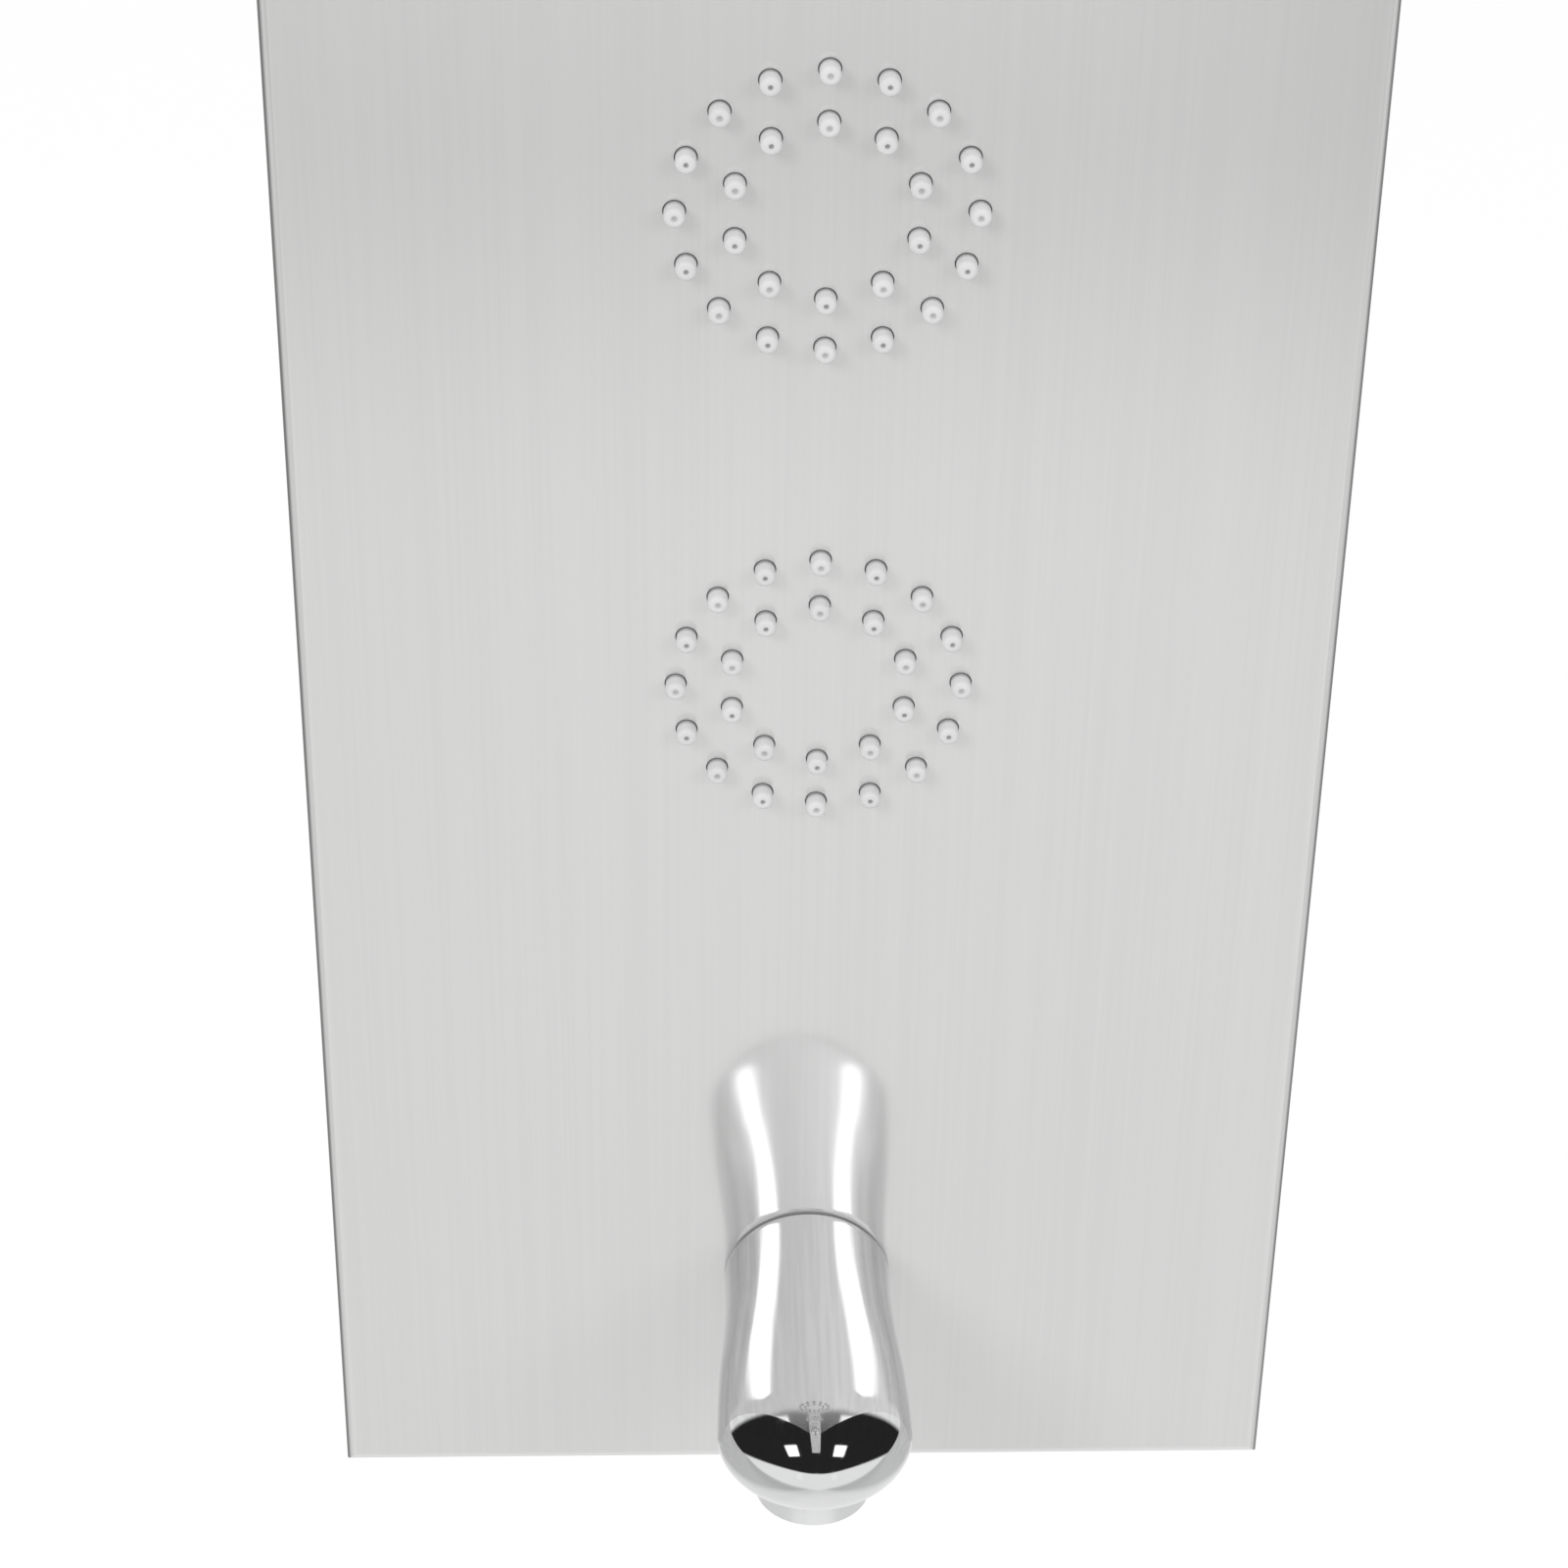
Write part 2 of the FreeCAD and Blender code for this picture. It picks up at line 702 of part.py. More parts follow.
def mixer_body():
    """The brass casting: barrel and collar, two threaded inlets below and the outlet above."""
    pivot, disc_top, disc_face, base_top, seat = cartridge_levels()
    collar_top = pivot - cartridge_shoulder + cartridge_nut_depth
    barrel = rod(mixer_barrel_diameter / 2, -mixer_barrel_depth, -sheet)
    collar = rod(mixer_collar_diameter / 2, -2 * sheet, collar_top)
    plane = -tube_plane
    boss_top = mixer_outlet_reach
    solids = [collar]
    outlet = Vector(0, boss_top, plane)
    solids.append(along(rod(diverter_boss / 2, 0, boss_top), Vector(0, 0, plane), Vector(0, 1, 0)))
    solids.append(spigot(outlet, Vector(0, 1, 0)))
    cuts = [
        rod(cartridge_diameter / 2 + cartridge_clearance, seat, collar_top + over),
        rod(nut_radius() + thread_gap, pivot - cartridge_shoulder, collar_top + over),
    ]
    outlet_port, left_port, right_port = port_points()
    below = Vector(0, -1, 0)
    for side, port in ((-1, left_port), (1, right_port)):
        x = side * inlet_spacing / 2
        foot = inlet_drop + inlet_thread_length
        solids.append(along(rod(inlet_boss / 2, 0, inlet_drop), Vector(x, 0, plane), below))
        solids.append(along(rod(half_inch_thread / 2, 0, foot), Vector(x, 0, plane), below))
        inlet_end = port[1] + port_cross_bore / 2 + bore_overrun
        cuts.append(bore(inlet_bore / 2, Vector(x, -foot - over, plane), Vector(x, inlet_end, plane)))
        crossing = Vector(port[0], port[1], plane)
        cuts.append(bore(port_cross_bore / 2, Vector(x, port[1], plane), crossing))
        deep = Vector(port[0], port[1], plane - port_cross_bore / 2 - bore_overrun)
        cuts.append(bore(port_diameter / 2, deep, Vector(port[0], port[1], seat + over)))
    port = Vector(outlet_port[0], outlet_port[1], plane)
    cuts.append(bore(port_diameter / 2, port, Vector(port.x, port.y, seat + over)))
    tail_start = Vector(0, port.y - port_diameter / 2 - bore_overrun, plane)
    tail_end = Vector(0, boss_top + spigot_length + over, plane)
    cuts.append(bore(spigot_bore / 2, tail_start, tail_end))
    return barrel.multiFuse(solids).cut(cuts)


def nut_radius():
    return mixer_collar_diameter / 2 - cartridge_nut_wall


def cartridge():
    """The cartridge's own pieces, from the seals at its base to the turret that the lever turns."""
    pivot, disc_top, disc_face, base_top, seat = cartridge_levels()
    cavity = cartridge_cavity / 2
    ports = port_points()
    through = [rod(port_diameter / 2, seat - over, disc_face + over, x, y) for x, y in ports]
    seal_radius = port_diameter / 2 + port_seal_width
    grooves = [rod(seal_radius, seat - over, seat + port_seal_height, x, y) for x, y in ports]
    base = rod(cartridge_diameter / 2, seat, base_top).cut(through + grooves)
    seals = []
    for x, y in ports:
        outer = seal_radius - thread_gap
        seals.append(ring(outer, port_diameter / 2, seat, seat + port_seal_height, x, y))
    fixed = rod(cavity - running_gap / 2, base_top, disc_face).cut(through)

    lift = math.radians(lever_lift) * spindle_arm
    disc_y = lift / 2
    moving = rod(moving_disc_diameter / 2, disc_face, disc_top, 0, disc_y)
    half = disc_pocket / 2
    pocket = block(-half, half, -half, half, disc_top - disc_pocket_depth, disc_top + over)

    lip_low = pivot + cartridge_top - cartridge_lip
    lip_radius = turret_neck / 2 + running_gap
    outer = cartridge_diameter / 2
    neck = cartridge_neck / 2
    shoulder = pivot - cartridge_shoulder
    housing = turned(
        (cavity, base_top), (outer, base_top), (outer, shoulder), (neck, shoulder),
        (neck, pivot + cartridge_top), (lip_radius, pivot + cartridge_top),
        (lip_radius, lip_low), (cavity, lip_low),
    )

    turret = rod(cavity - running_gap, disc_top + running_gap, lip_low - running_gap)
    turret = turret.fuse(rod(turret_neck / 2, disc_top + running_gap, pivot + turret_stand))
    side = spindle_square / 2 + running_gap
    swing = turret_neck / 2 - turret_wall
    window = block(-side, side, -swing, swing, disc_top - over, pivot + turret_stand + over)
    pin_hole = across(lever_pin_diameter / 2 + pin_fit / 2, 2 * cavity, pivot)
    return {
        "cartridge_base": base,
        "cartridge_seals": Part.makeCompound(seals),
        "fixed_disc": fixed,
        "moving_disc": moving.cut(pocket),
        "cartridge_housing": housing,
        "lever_turret": turret.cut([window, pin_hole]),
        "lever_pin": across(lever_pin_diameter / 2, lever_pin_length, pivot),
    }


def across(radius, length, out):
    """A rod along X through the middle of the panel unit."""
    return along(rod(radius, 0, length), Vector(-length / 2, 0, out), RIGHT)


def lever_spindle():
    """The stem that the handle tilts: a square bar with a ball foot in the moving disc."""
    pivot = lever_pivot_out
    half = spindle_square / 2
    foot = pivot - spindle_arm
    bar = block(-half, half, -half, half, pivot - half - over, pivot + spindle_top)
    stem = rod(spindle_stem / 2, foot, pivot)
    ball = Part.makeSphere(spindle_ball / 2, Vector(0, 0, foot))
    hole = across(lever_pin_diameter / 2 + pin_fit, 2 * spindle_square, pivot)
    return bar.multiFuse([stem, ball]).cut(hole)


def stadium(half_width, half_depth):
    """A bar section: two flat sides joined by half circles."""
    flat = half_width - half_depth
    corners = [
        Vector(-flat, -half_depth, 0), Vector(flat, -half_depth, 0),
        Vector(flat, half_depth, 0), Vector(-flat, half_depth, 0),
    ]
    edges = [
        Part.LineSegment(corners[0], corners[1]).toShape(),
        Part.Arc(corners[1], Vector(half_width, 0, 0), corners[2]).toShape(),
        Part.LineSegment(corners[2], corners[3]).toShape(),
        Part.Arc(corners[3], Vector(-half_width, 0, 0), corners[0]).toShape(),
    ]
    return Part.Wire(edges)


def mixer_handle():
    """The dome, which is centred on the pivot so that it never meets the trim, and its lever."""
    pivot = lever_pivot_out
    centre = Vector(0, 0, pivot)
    outer = handle_outer / 2
    inner = outer - handle_wall
    dome = Part.makeSphere(outer, centre)
    wires = []
    for length, out, (half_width, half_depth) in lever_stations:
        turn = Placement(Vector(0, -length, pivot + out), Rotation(RIGHT, 90))
        wires.append(placed(stadium(half_width, half_depth), turn))
    lever = Part.makeLoft(wires, True, True)
    skirt = block(-outer, outer, -outer, outer, pivot - outer, pivot + handle_skirt)
    hollow = Part.makeSphere(inner, centre)
    hub = rod(handle_hub / 2, pivot + handle_hub_out, pivot + inner + handle_wall / 2)
    half = spindle_square / 2 + thread_gap
    socket = block(-half, half, -half, half, pivot, pivot + spindle_top)
    axis = Vector(0, 0, pivot + grub_out)
    grub = bore(grub_diameter / 2 + thread_gap, axis, axis + Vector(0, outer, 0))
    return dome.fuse(lever).cut([skirt, hollow]).fuse(hub).cut([socket, grub])


def handle_fixings():
    pivot = lever_pivot_out
    start = spindle_square / 2
    height = pivot + grub_out
    direction = Vector(0, 1, 0)
    screw = rod(grub_diameter / 2, 0, grub_length)
    screw = screw.cut(prism(6, grub_socket, grub_length - grub_socket_depth, grub_length + over))
    cap_start = start + grub_length + over
    face = math.sqrt((handle_outer / 2) ** 2 - grub_out**2)
    cap = rod(grub_diameter / 2, 0, face - cap_start)
    return {
        "handle_screw": along(screw, Vector(0, start, height), direction),
        "handle_cap": along(cap, Vector(0, cap_start, height), direction),
    }


def notched_ring(outer, inner, low, high):
    """A round locknut with notches for a hook spanner."""
    body = ring(outer, inner, low, high)
    cuts = []
    for x, y in circle_points(locknut_notches, 2 * outer, 0):
        cuts.append(rod(locknut_notch / 2, low - over, high + over, x, y))
    return body.cut(cuts)


def trim_flange(diameter, height, wall, mouth):
    """A low turned cover, hollow at the back, with a round mouth in its crown."""
    radius = diameter / 2
    crown, shoulder, shoulder_rise = flange_hollow
    outside = [(radius - height * inwards, height * up) for inwards, up in flange_curve]
    inside = [
        (mouth, height - wall), (radius - height * crown, height - wall),
        (radius - wall - height * shoulder, height * shoulder_rise), (radius - wall, 0),
    ]
    return turned((radius, 0), *outside, (mouth, height), *inside)


def mixer():
    seat_frame = on_front(0, mixer_z)
    pivot, disc_top, disc_face, base_top, seat = cartridge_levels()
    collar = mixer_collar_diameter / 2
    collar_top = pivot - cartridge_shoulder + cartridge_nut_depth
    unit = {"mixer_body": mixer_body()}
    unit["lever_spindle"] = lever_spindle()
    unit["mixer_handle"] = mixer_handle()
    unit.update(cartridge())
    unit.update(handle_fixings())
    unit["mixer_locknut"] = notched_ring(
        mixer_locknut_diameter / 2, collar + thread_gap, 0, mixer_locknut_thickness
    )
    inside = cartridge_neck / 2 + cartridge_clearance
    nut = ring(nut_radius(), inside, pivot - cartridge_shoulder, collar_top)
    head = prism(6, cartridge_nut_flats, collar_top, collar_top + cartridge_nut_head)
    head = head.cut(rod(inside, collar_top - over, collar_top + cartridge_nut_head + over))
    unit["cartridge_nut"] = nut.fuse(head)
    mouth = collar + running_gap
    flange = trim_flange(mixer_flange_diameter, mixer_flange_height, trim_wall, mouth)
    sleeve_low = mixer_flange_height - trim_wall
    sleeve = ring(mixer_sleeve_diameter / 2, mouth, sleeve_low, pivot + handle_skirt)
    unit["mixer_escutcheon"] = flange.fuse(sleeve)
    for name, shape in unit.items():
        nodes[name] = placed(shape, seat_frame)


# --- Diverter --------------------------------------------------------------------------------------
def diverter_body():
    """The brass casting: one inlet below, and the rain, jet and spout outlets round it."""
    plane = -tube_plane
    barrel = rod(diverter_barrel_diameter / 2, -diverter_barrel_depth, -sheet)
    solids = [rod(diverter_collar_diameter / 2, -2 * sheet, diverter_collar_out)]
    cuts = [rod(sleeve_diameter / 2 + thread_gap, -sleeve_depth, diverter_collar_out + over)]
    middle = Vector(0, 0, plane)
    inlet_way = Vector(0, -1, 0)
    for direction in (RIGHT, LEFT, Vector(0, 1, 0), inlet_way):
        solids.append(along(rod(diverter_boss / 2, 0, diverter_boss_reach), middle, direction))
        root = middle + direction * diverter_boss_reach
        solids.append(spigot(root, direction))
        overrun = bore_overrun if direction == inlet_way else -2 * bore_overrun
        inner = middle + direction * (sleeve_diameter / 2 + overrun)
        cuts.append(bore(spigot_bore / 2, inner, root + direction * (spigot_length + over)))
    feed_y = -(sleeve_diameter + diverter_barrel_diameter) / 4
    rear = -sleeve_depth - diverter_cross / 2 - bore_overrun
    deep = rear - diverter_cross / 2 - bore_overrun
    cuts.append(bore(diverter_feed / 2, Vector(0, feed_y, plane), Vector(0, feed_y, deep)))
    cuts.append(bore(diverter_cross / 2, Vector(0, feed_y, rear), Vector(0, 0, rear)))
    cuts.append(rod(rotor_bore / 2, deep, -sleeve_depth + over))
    return barrel.multiFuse(solids).cut(cuts)


def diverter():
    seat_frame = on_front(0, diverter_z)
    plane = -tube_plane
    collar_top = diverter_collar_out
    unit = {"diverter_body": diverter_body()}

    sleeve = ring(sleeve_diameter / 2, sleeve_cavity / 2, -sleeve_depth, collar_top)
    floor = ring(sleeve_diameter / 2, rotor_bore / 2, -sleeve_depth, -sleeve_depth + sleeve_floor)
    windows = []
    middle = Vector(0, 0, plane)
    for direction in (RIGHT, LEFT, Vector(0, 1, 0)):
        start = middle + direction * (sleeve_cavity / 2 - over)
        windows.append(bore(rotor_bore / 2, start, middle + direction * sleeve_diameter))
    unit["diverter_sleeve"] = sleeve.fuse(floor).cut(windows)

    rotor_low = -sleeve_depth + sleeve_floor + running_gap
    rotor = rod(rotor_diameter / 2, rotor_low, collar_top - running_gap)
    rotor = rotor.fuse(rod(diverter_spindle / 2, rotor_low, diverter_spindle_out))
    tapped = diverter_spindle_out - knob_screw_length + knob_web - over
    unit["diverter_rotor"] = rotor.cut([
        rod(rotor_bore / 2, rotor_low - over, plane),
        bore(rotor_bore / 2, middle, Vector(0, rotor_diameter, plane)),
        rod(knob_screw_diameter / 2 + thread_gap, tapped, diverter_spindle_out + over),
    ])

    unit["diverter_locknut"] = notched_ring(
        diverter_locknut_diameter / 2, diverter_collar_diameter / 2 + thread_gap,
        0, diverter_locknut_thickness,
    )
    gland_low = diverter_locknut_thickness + gland_nut_gap
    gland = prism(6, gland_nut_flats, gland_low, collar_top + gland_nut_lip)
    unit["diverter_nut"] = gland.cut([
        rod(diverter_collar_diameter / 2 + thread_gap, 0, collar_top),
        rod(diverter_spindle / 2 + running_gap, collar_top - over, collar_top + gland_nut_lip + over),
    ])
    gland_corner = gland_nut_flats / 2 / math.cos(math.pi / 6)
    unit["diverter_escutcheon"] = trim_flange(
        diverter_flange_diameter, diverter_flange_height, trim_wall, gland_corner + 2 * running_gap
    )
    unit.update(diverter_knob(gland_corner))
    for name, shape in unit.items():
        nodes[name] = placed(shape, seat_frame)


def diverter_knob(gland_corner):
    """The fluted knob on the rotor's spindle, its screw and the cap over the screw."""
    back = diverter_flange_height + knob_skirt_gap
    roof = diverter_collar_out + gland_nut_lip + running_gap
    front = knob_out
    base = knob_diameter / 2
    nose = knob_front_diameter / 2
    body = turned(
        (gland_corner + 2 * running_gap, back), (base, back), (base, back + knob_band),
        (nose + knob_step, back + knob_taper), (nose, front - knob_edge),
        (nose - knob_edge_inset, front), (0, front), (0, roof),
        (gland_corner + 2 * running_gap, roof),
    )
    flutes = []
    for x, y in circle_points(knob_flutes, knob_flute_circle, 180 / knob_flutes):
        flutes.append(rod(knob_flute_radius, back + knob_flute_start, front + over, x, y))
    web_low = diverter_spindle_out
    web_high = web_low + knob_web
    holes = [
        rod(diverter_spindle / 2 + thread_gap, roof - over, web_low),
        rod(knob_screw_diameter / 2 + stud_hole_clearance, web_low - over, web_high + over),
        rod(knob_cap_diameter / 2, web_high, front + over),
    ]
    head_top = web_high + knob_screw_head_height
    screw = rod(knob_screw_diameter / 2, web_high - knob_screw_length, web_high)
    screw = screw.fuse(rod(knob_screw_head / 2, web_high, head_top))
    socket = prism(6, knob_screw_socket, head_top - knob_screw_socket_depth, head_top + over)
    cap_low = front - knob_cap_thickness
    return {
        "diverter_knob": body.cut(flutes + holes),
        "knob_screw": screw.cut(socket),
        "knob_cap": rod(knob_cap_diameter / 2 - thread_gap, cap_low, front),
    }


# --- Water ways ------------------------------------------------------------------------------------
def clamp(root, direction):
    """A crimped ring round a tube's end, half way along the spigot inside it."""
    outer = tube_outer / 2 + clamp_wall
    low = (spigot_length - clamp_width) / 2
    return along(ring(outer, tube_outer / 2 + thread_gap, low, low + clamp_width), root, direction)


def water_ways():
    chamber_y = chamber_plane - panel_depth
    jet_edge = mat_radius(jet_rings)
    run_in = spigot_length + tube_bend + tube_lead
    mixer_out = Vector(0, tube_y, mixer_z + mixer_outlet_reach)
    middle = Vector(0, tube_y, diverter_z)
    ports = [middle + way * diverter_boss_reach for way in (DOWN, UP, LEFT, RIGHT)]
    inlet, rain_out, jets_out, spout_out = ports
    nodes["link_tube"] = hose([mixer_out, inlet], tube_bend)

    rain_z = top + chamber_plane
    rain_in = Vector(0, head_middle_y + mat_radius(rain_rings), rain_z)
    nodes["rain_tube"] = hose([rain_out, Vector(0, tube_y, rain_z), rain_in], hood_tube_bend)

    upper_in = Vector(0, chamber_y, upper_jet_z + jet_edge)
    jet_turn_z = upper_in.z + run_in
    jet_route = [
        jets_out, Vector(-tube_side, tube_y, diverter_z), Vector(-tube_side, chamber_y, jet_turn_z),
        Vector(0, chamber_y, jet_turn_z), upper_in,
    ]
    nodes["jet_tube"] = hose(jet_route, tube_bend)

    upper_out = Vector(0, chamber_y, upper_jet_z - jet_edge)
    lower_in = Vector(0, chamber_y, lower_jet_z + jet_edge)
    nodes["jet_link_tube"] = hose([upper_out, lower_in], tube_bend)

    spout_in = Vector(0, tube_y, spout_z + elbow_rise)
    spout_turn_z = spout_in.z + run_in
    spout_route = [
        spout_out, Vector(tube_side, tube_y, diverter_z), Vector(tube_side, tube_y, spout_turn_z),
        Vector(0, tube_y, spout_turn_z), spout_in,
    ]
    nodes["spout_tube"] = hose(spout_route, tube_bend)

    ends = (
        (mixer_out, UP), (inlet, DOWN), (rain_out, UP), (rain_in, BACK), (jets_out, LEFT),
        (upper_in, UP), (upper_out, DOWN), (lower_in, UP), (spout_out, RIGHT), (spout_in, UP),
    )
    nodes["tube_clamps"] = Part.makeCompound([clamp(root, direction) for root, direction in ends])


# --- Overhead hood ---------------------------------------------------------------------------------
def hood_bolt_points():
    return [(side * hood_bolt_x, y) for side in (-1, 1) for y in hood_bolt_y]


def hood_bolt_holes(low, high):
    radius = hood_bolt_diameter / 2 + stud_hole_clearance
    return [rod(radius, low, high, x, y) for x, y in hood_bolt_points()]


def tube_slot(low, high):
    """The opening through which the rain tube passes from the column into the hood."""
    half = tube_slot_width / 2
    return block(-half, half, -tube_slot_front, -tube_slot_back, low, high)


def hood_screw_seats():
    seats = []
    for y in hood_screw_y:
        for side in (-1, 1):
            place = Vector(side * panel_width / 2, y, top + sheet + hood_screw_rise)
            seats.append((place, Vector(-side, 0, 0)))
    return seats


def overhead_hood():
    half = panel_width / 2
    tip = -panel_depth - head_reach
    roof = top + head_height
    shell = block(-half, half, tip, 0, top - sheet, roof)
    front_edges = [edge for edge in upright_edges(shell) if edge.BoundBox.YMax < tip + tolerance]
    roof_edges = [edge for edge in shell.Edges if edge.BoundBox.ZMin > roof - tolerance]
    shell = shell.makeFillet(fold_radius, front_edges + roof_edges)
    lip = sheet + head_lip
    cuts = [
        block(-inside_half, inside_half, tip + sheet, -sheet, top, roof - sheet),
        block(-half + lip, half - lip, tip + lip, -panel_depth, top - 2 * sheet, top + over),
        block(-half - over, half + over, -panel_depth, over, top - 2 * sheet, top),
        block(-inside_half, inside_half, -panel_depth - over, -sheet, top - 2 * sheet, top + over),
    ]
    for start, direction in hood_screw_seats():
        cuts.append(side_hole(start, direction, stud_hole_clearance, 2 * sheet))
    nodes["head_shell"] = shell.cut(cuts)

    face_half = inside_half - head_face_clearance
    edge_gap = sheet + head_face_clearance
    face = block(-face_half, face_half, tip + edge_gap, -edge_gap, top, top + sheet)
    holes = [placed(hole, under_head(0, head_middle_y)) for hole in nozzle_holes(rain_rings)]
    holes += hood_bolt_holes(top - over, top + 2 * sheet)
    holes.append(tube_slot(top - over, top + 2 * sheet))
    nodes["head_face"] = face.cut(holes)

    nodes["head_bracket"] = head_bracket()
    bolt_seat = top + sheet + hood_bracket_sheet
    bolts = []
    nuts = []
    nut_top = top - sheet
    nut_low = nut_top - hood_nut_thickness
    for x, y in hood_bolt_points():
        shank = rod(hood_bolt_diameter / 2, nut_low - stud_spare, bolt_seat + over, x, y)
        head = prism(6, hood_bolt_flats, bolt_seat, bolt_seat + hood_bolt_head_height, x, y)
        bolts.append(shank.fuse(head))
        nuts.append(hex_nut(hood_bolt_flats, hood_bolt_diameter, nut_low, nut_top, x, y))
    nodes["head_bolts"] = Part.makeCompound(bolts)
    nodes["head_nuts"] = Part.makeCompound(nuts)
    nodes["head_screws"] = Part.makeCompound([pan_screw(*seat) for seat in hood_screw_seats()])

    seat = under_head(0, head_middle_y)
    nodes["rain_mat"] = placed(nozzle_mat(rain_rings), seat)
    nodes["rain_chamber"] = placed(water_chamber(rain_rings, (-1,)), seat)
    nodes["rain_studs"] = Part.makeCompound([placed(stud, seat) for stud in studs(rain_rings)])
    nodes["rain_nuts"] = Part.makeCompound([placed(nut, seat) for nut in stud_nuts(rain_rings)])


def head_bracket():
    """The channel that carries the hood: bolted to the casing's top, screwed to the hood's sides."""
    half = inside_half - bracket_clearance
    low = top + sheet
    front = -hood_bracket_back - hood_bracket_length
    channel = block(-half, half, front, -hood_bracket_back, low, low + hood_bracket_flange)
    inner = half - hood_bracket_sheet
    slot = hood_bracket_slot / 2
    web_top = low + hood_bracket_sheet
    cuts = [
        block(-inner, inner, front - over, 0, web_top, low + hood_bracket_flange + over),
        block(-slot, slot, front - over, -tube_slot_back, low - over, web_top + over),
    ]
    cuts += hood_bolt_holes(low - over, web_top + over)
    for start, direction in hood_screw_seats():
        cuts.append(side_hole(start, direction, thread_gap, side_screw_length + over))
    return channel.cut(cuts)


# --- Build -----------------------------------------------------------------------------------------
panel_casing()
wall_brackets()
body_jets()
bath_spout()
mixer()
diverter()
water_ways()
overhead_hood()

os.makedirs("parts", exist_ok=True)
for node_name, node_shape in nodes.items():
    node_shape.exportStep("parts/" + node_name + ".step")
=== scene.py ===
import math

import bpy
import numpy as np
from mathutils import Matrix, Vector


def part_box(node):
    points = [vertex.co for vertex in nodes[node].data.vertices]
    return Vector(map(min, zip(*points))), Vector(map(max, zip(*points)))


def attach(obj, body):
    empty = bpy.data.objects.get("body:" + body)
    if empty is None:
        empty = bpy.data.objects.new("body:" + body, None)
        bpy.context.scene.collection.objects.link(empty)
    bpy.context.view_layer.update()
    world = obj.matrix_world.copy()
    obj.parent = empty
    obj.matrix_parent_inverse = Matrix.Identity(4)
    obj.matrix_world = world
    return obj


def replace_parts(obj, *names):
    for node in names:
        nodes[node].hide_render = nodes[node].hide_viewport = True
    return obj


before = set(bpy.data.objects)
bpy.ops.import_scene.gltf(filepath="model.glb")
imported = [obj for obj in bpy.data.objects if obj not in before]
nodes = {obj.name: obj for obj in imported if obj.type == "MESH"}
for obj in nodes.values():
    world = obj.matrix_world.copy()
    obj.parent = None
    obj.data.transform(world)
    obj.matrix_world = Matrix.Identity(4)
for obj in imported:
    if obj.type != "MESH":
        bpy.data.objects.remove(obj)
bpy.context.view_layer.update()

# Shower panel column: finishes, fine pieces, light and camera.
# Lengths are metres in the CAD frame: X right, Y into the wall, Z up, wall screws centred on the origin.

MM = 0.001
X_AXIS, Y_AXIS, Z_AXIS = 0, 1, 2
WHITE = (1, 1, 1, 1)


# --- Places read from the CAD frame ---------------------------------------------------------------
def middle(node):
    """The middle of a node's box."""
    low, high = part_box(node)
    return (low + high) / 2


panel_low, panel_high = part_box("panel_casing")
face_y = panel_low.y
gasket_low, gasket_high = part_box("spout_gasket")
spout_axis_z = (gasket_low.z + gasket_high.z) / 2


# --- Node helpers ---------------------------------------------------------------------------------
# Where a colour Mix node has its factor, its two colours and its result.
COLOUR_MIX_INPUTS = (0, 6, 7)
COLOUR_MIX_OUTPUT = 2


class Graph:
    """A short way to add nodes to a tree and to join them."""

    def __init__(self, tree):
        self.tree = tree

    def add(self, kind, settings=None, **inputs):
        node = self.tree.nodes.new(kind)
        for name, value in (settings or {}).items():
            setattr(node, name, value)
        for name, value in inputs.items():
            self.feed(node, name.replace("_", " "), value)
        return node

    def feed(self, node, name, value):
        socket = node.inputs[int(name)] if name.isdigit() else node.inputs[name]
        if isinstance(value, bpy.types.NodeSocket):
            self.tree.links.new(value, socket)
        else:
            socket.default_value = value

    def math(self, operation, *values):
        node = self.tree.nodes.new("ShaderNodeMath")
        node.operation = operation
        for index, value in enumerate(values):
            self.feed(node, str(index), value)
        return node.outputs[0]

    def times(self, first, *others):
        """The product of all the values."""
        for other in others:
            first = self.math("MULTIPLY", first, other)
        return first

    def weigh(self, first, first_share, second, second_share):
        """The sum of two values, each times its share."""
        return self.math("ADD", self.times(first, first_share), self.times(second, second_share))

    def object_place(self):
        """X, Y and Z of the Object coordinates."""
        coordinates = self.add("ShaderNodeTexCoord").outputs["Object"]
        return self.add("ShaderNodeSeparateXYZ", Vector=coordinates).outputs

    def remap(self, value, low, high, out_low, out_high, smooth=True):
        node = self.tree.nodes.new("ShaderNodeMapRange")
        node.interpolation_type = "SMOOTHSTEP" if smooth else "LINEAR"
        for index, number in enumerate((value, low, high, out_low, out_high)):
            self.feed(node, str(index), number)
        return node.outputs["Result"]

    def noise(self, vector, scale, detail, roughness):
        node = self.add("ShaderNodeTexNoise", Scale=scale, Detail=detail, Roughness=roughness)
        self.tree.links.new(vector, node.inputs["Vector"])
        return node.outputs["Fac"]

    def blend(self, factor, first, second):
        """The first colour where the factor is 0 and the second where it is 1."""
        node = self.add("ShaderNodeMix", {"data_type": "RGBA"})
        for index, value in zip(COLOUR_MIX_INPUTS, (factor, first, second)):
            self.feed(node, str(index), value)
        return node.outputs[COLOUR_MIX_OUTPUT]


def new_group(name, inputs, outputs):
    """A shader group with named sockets; inputs and outputs are (name, type, default) rows."""
    tree = bpy.data.node_groups.new(name, "ShaderNodeTree")
    for label, kind, value in inputs:
        socket = tree.interface.new_socket(label, in_out="INPUT", socket_type=kind)
        if value is not None:
            socket.default_value = value
    for label, kind in outputs:
        tree.interface.new_socket(label, in_out="OUTPUT", socket_type=kind)
    start = tree.nodes.new("NodeGroupInput")
    end = tree.nodes.new("NodeGroupOutput")
    return Graph(tree), start, end


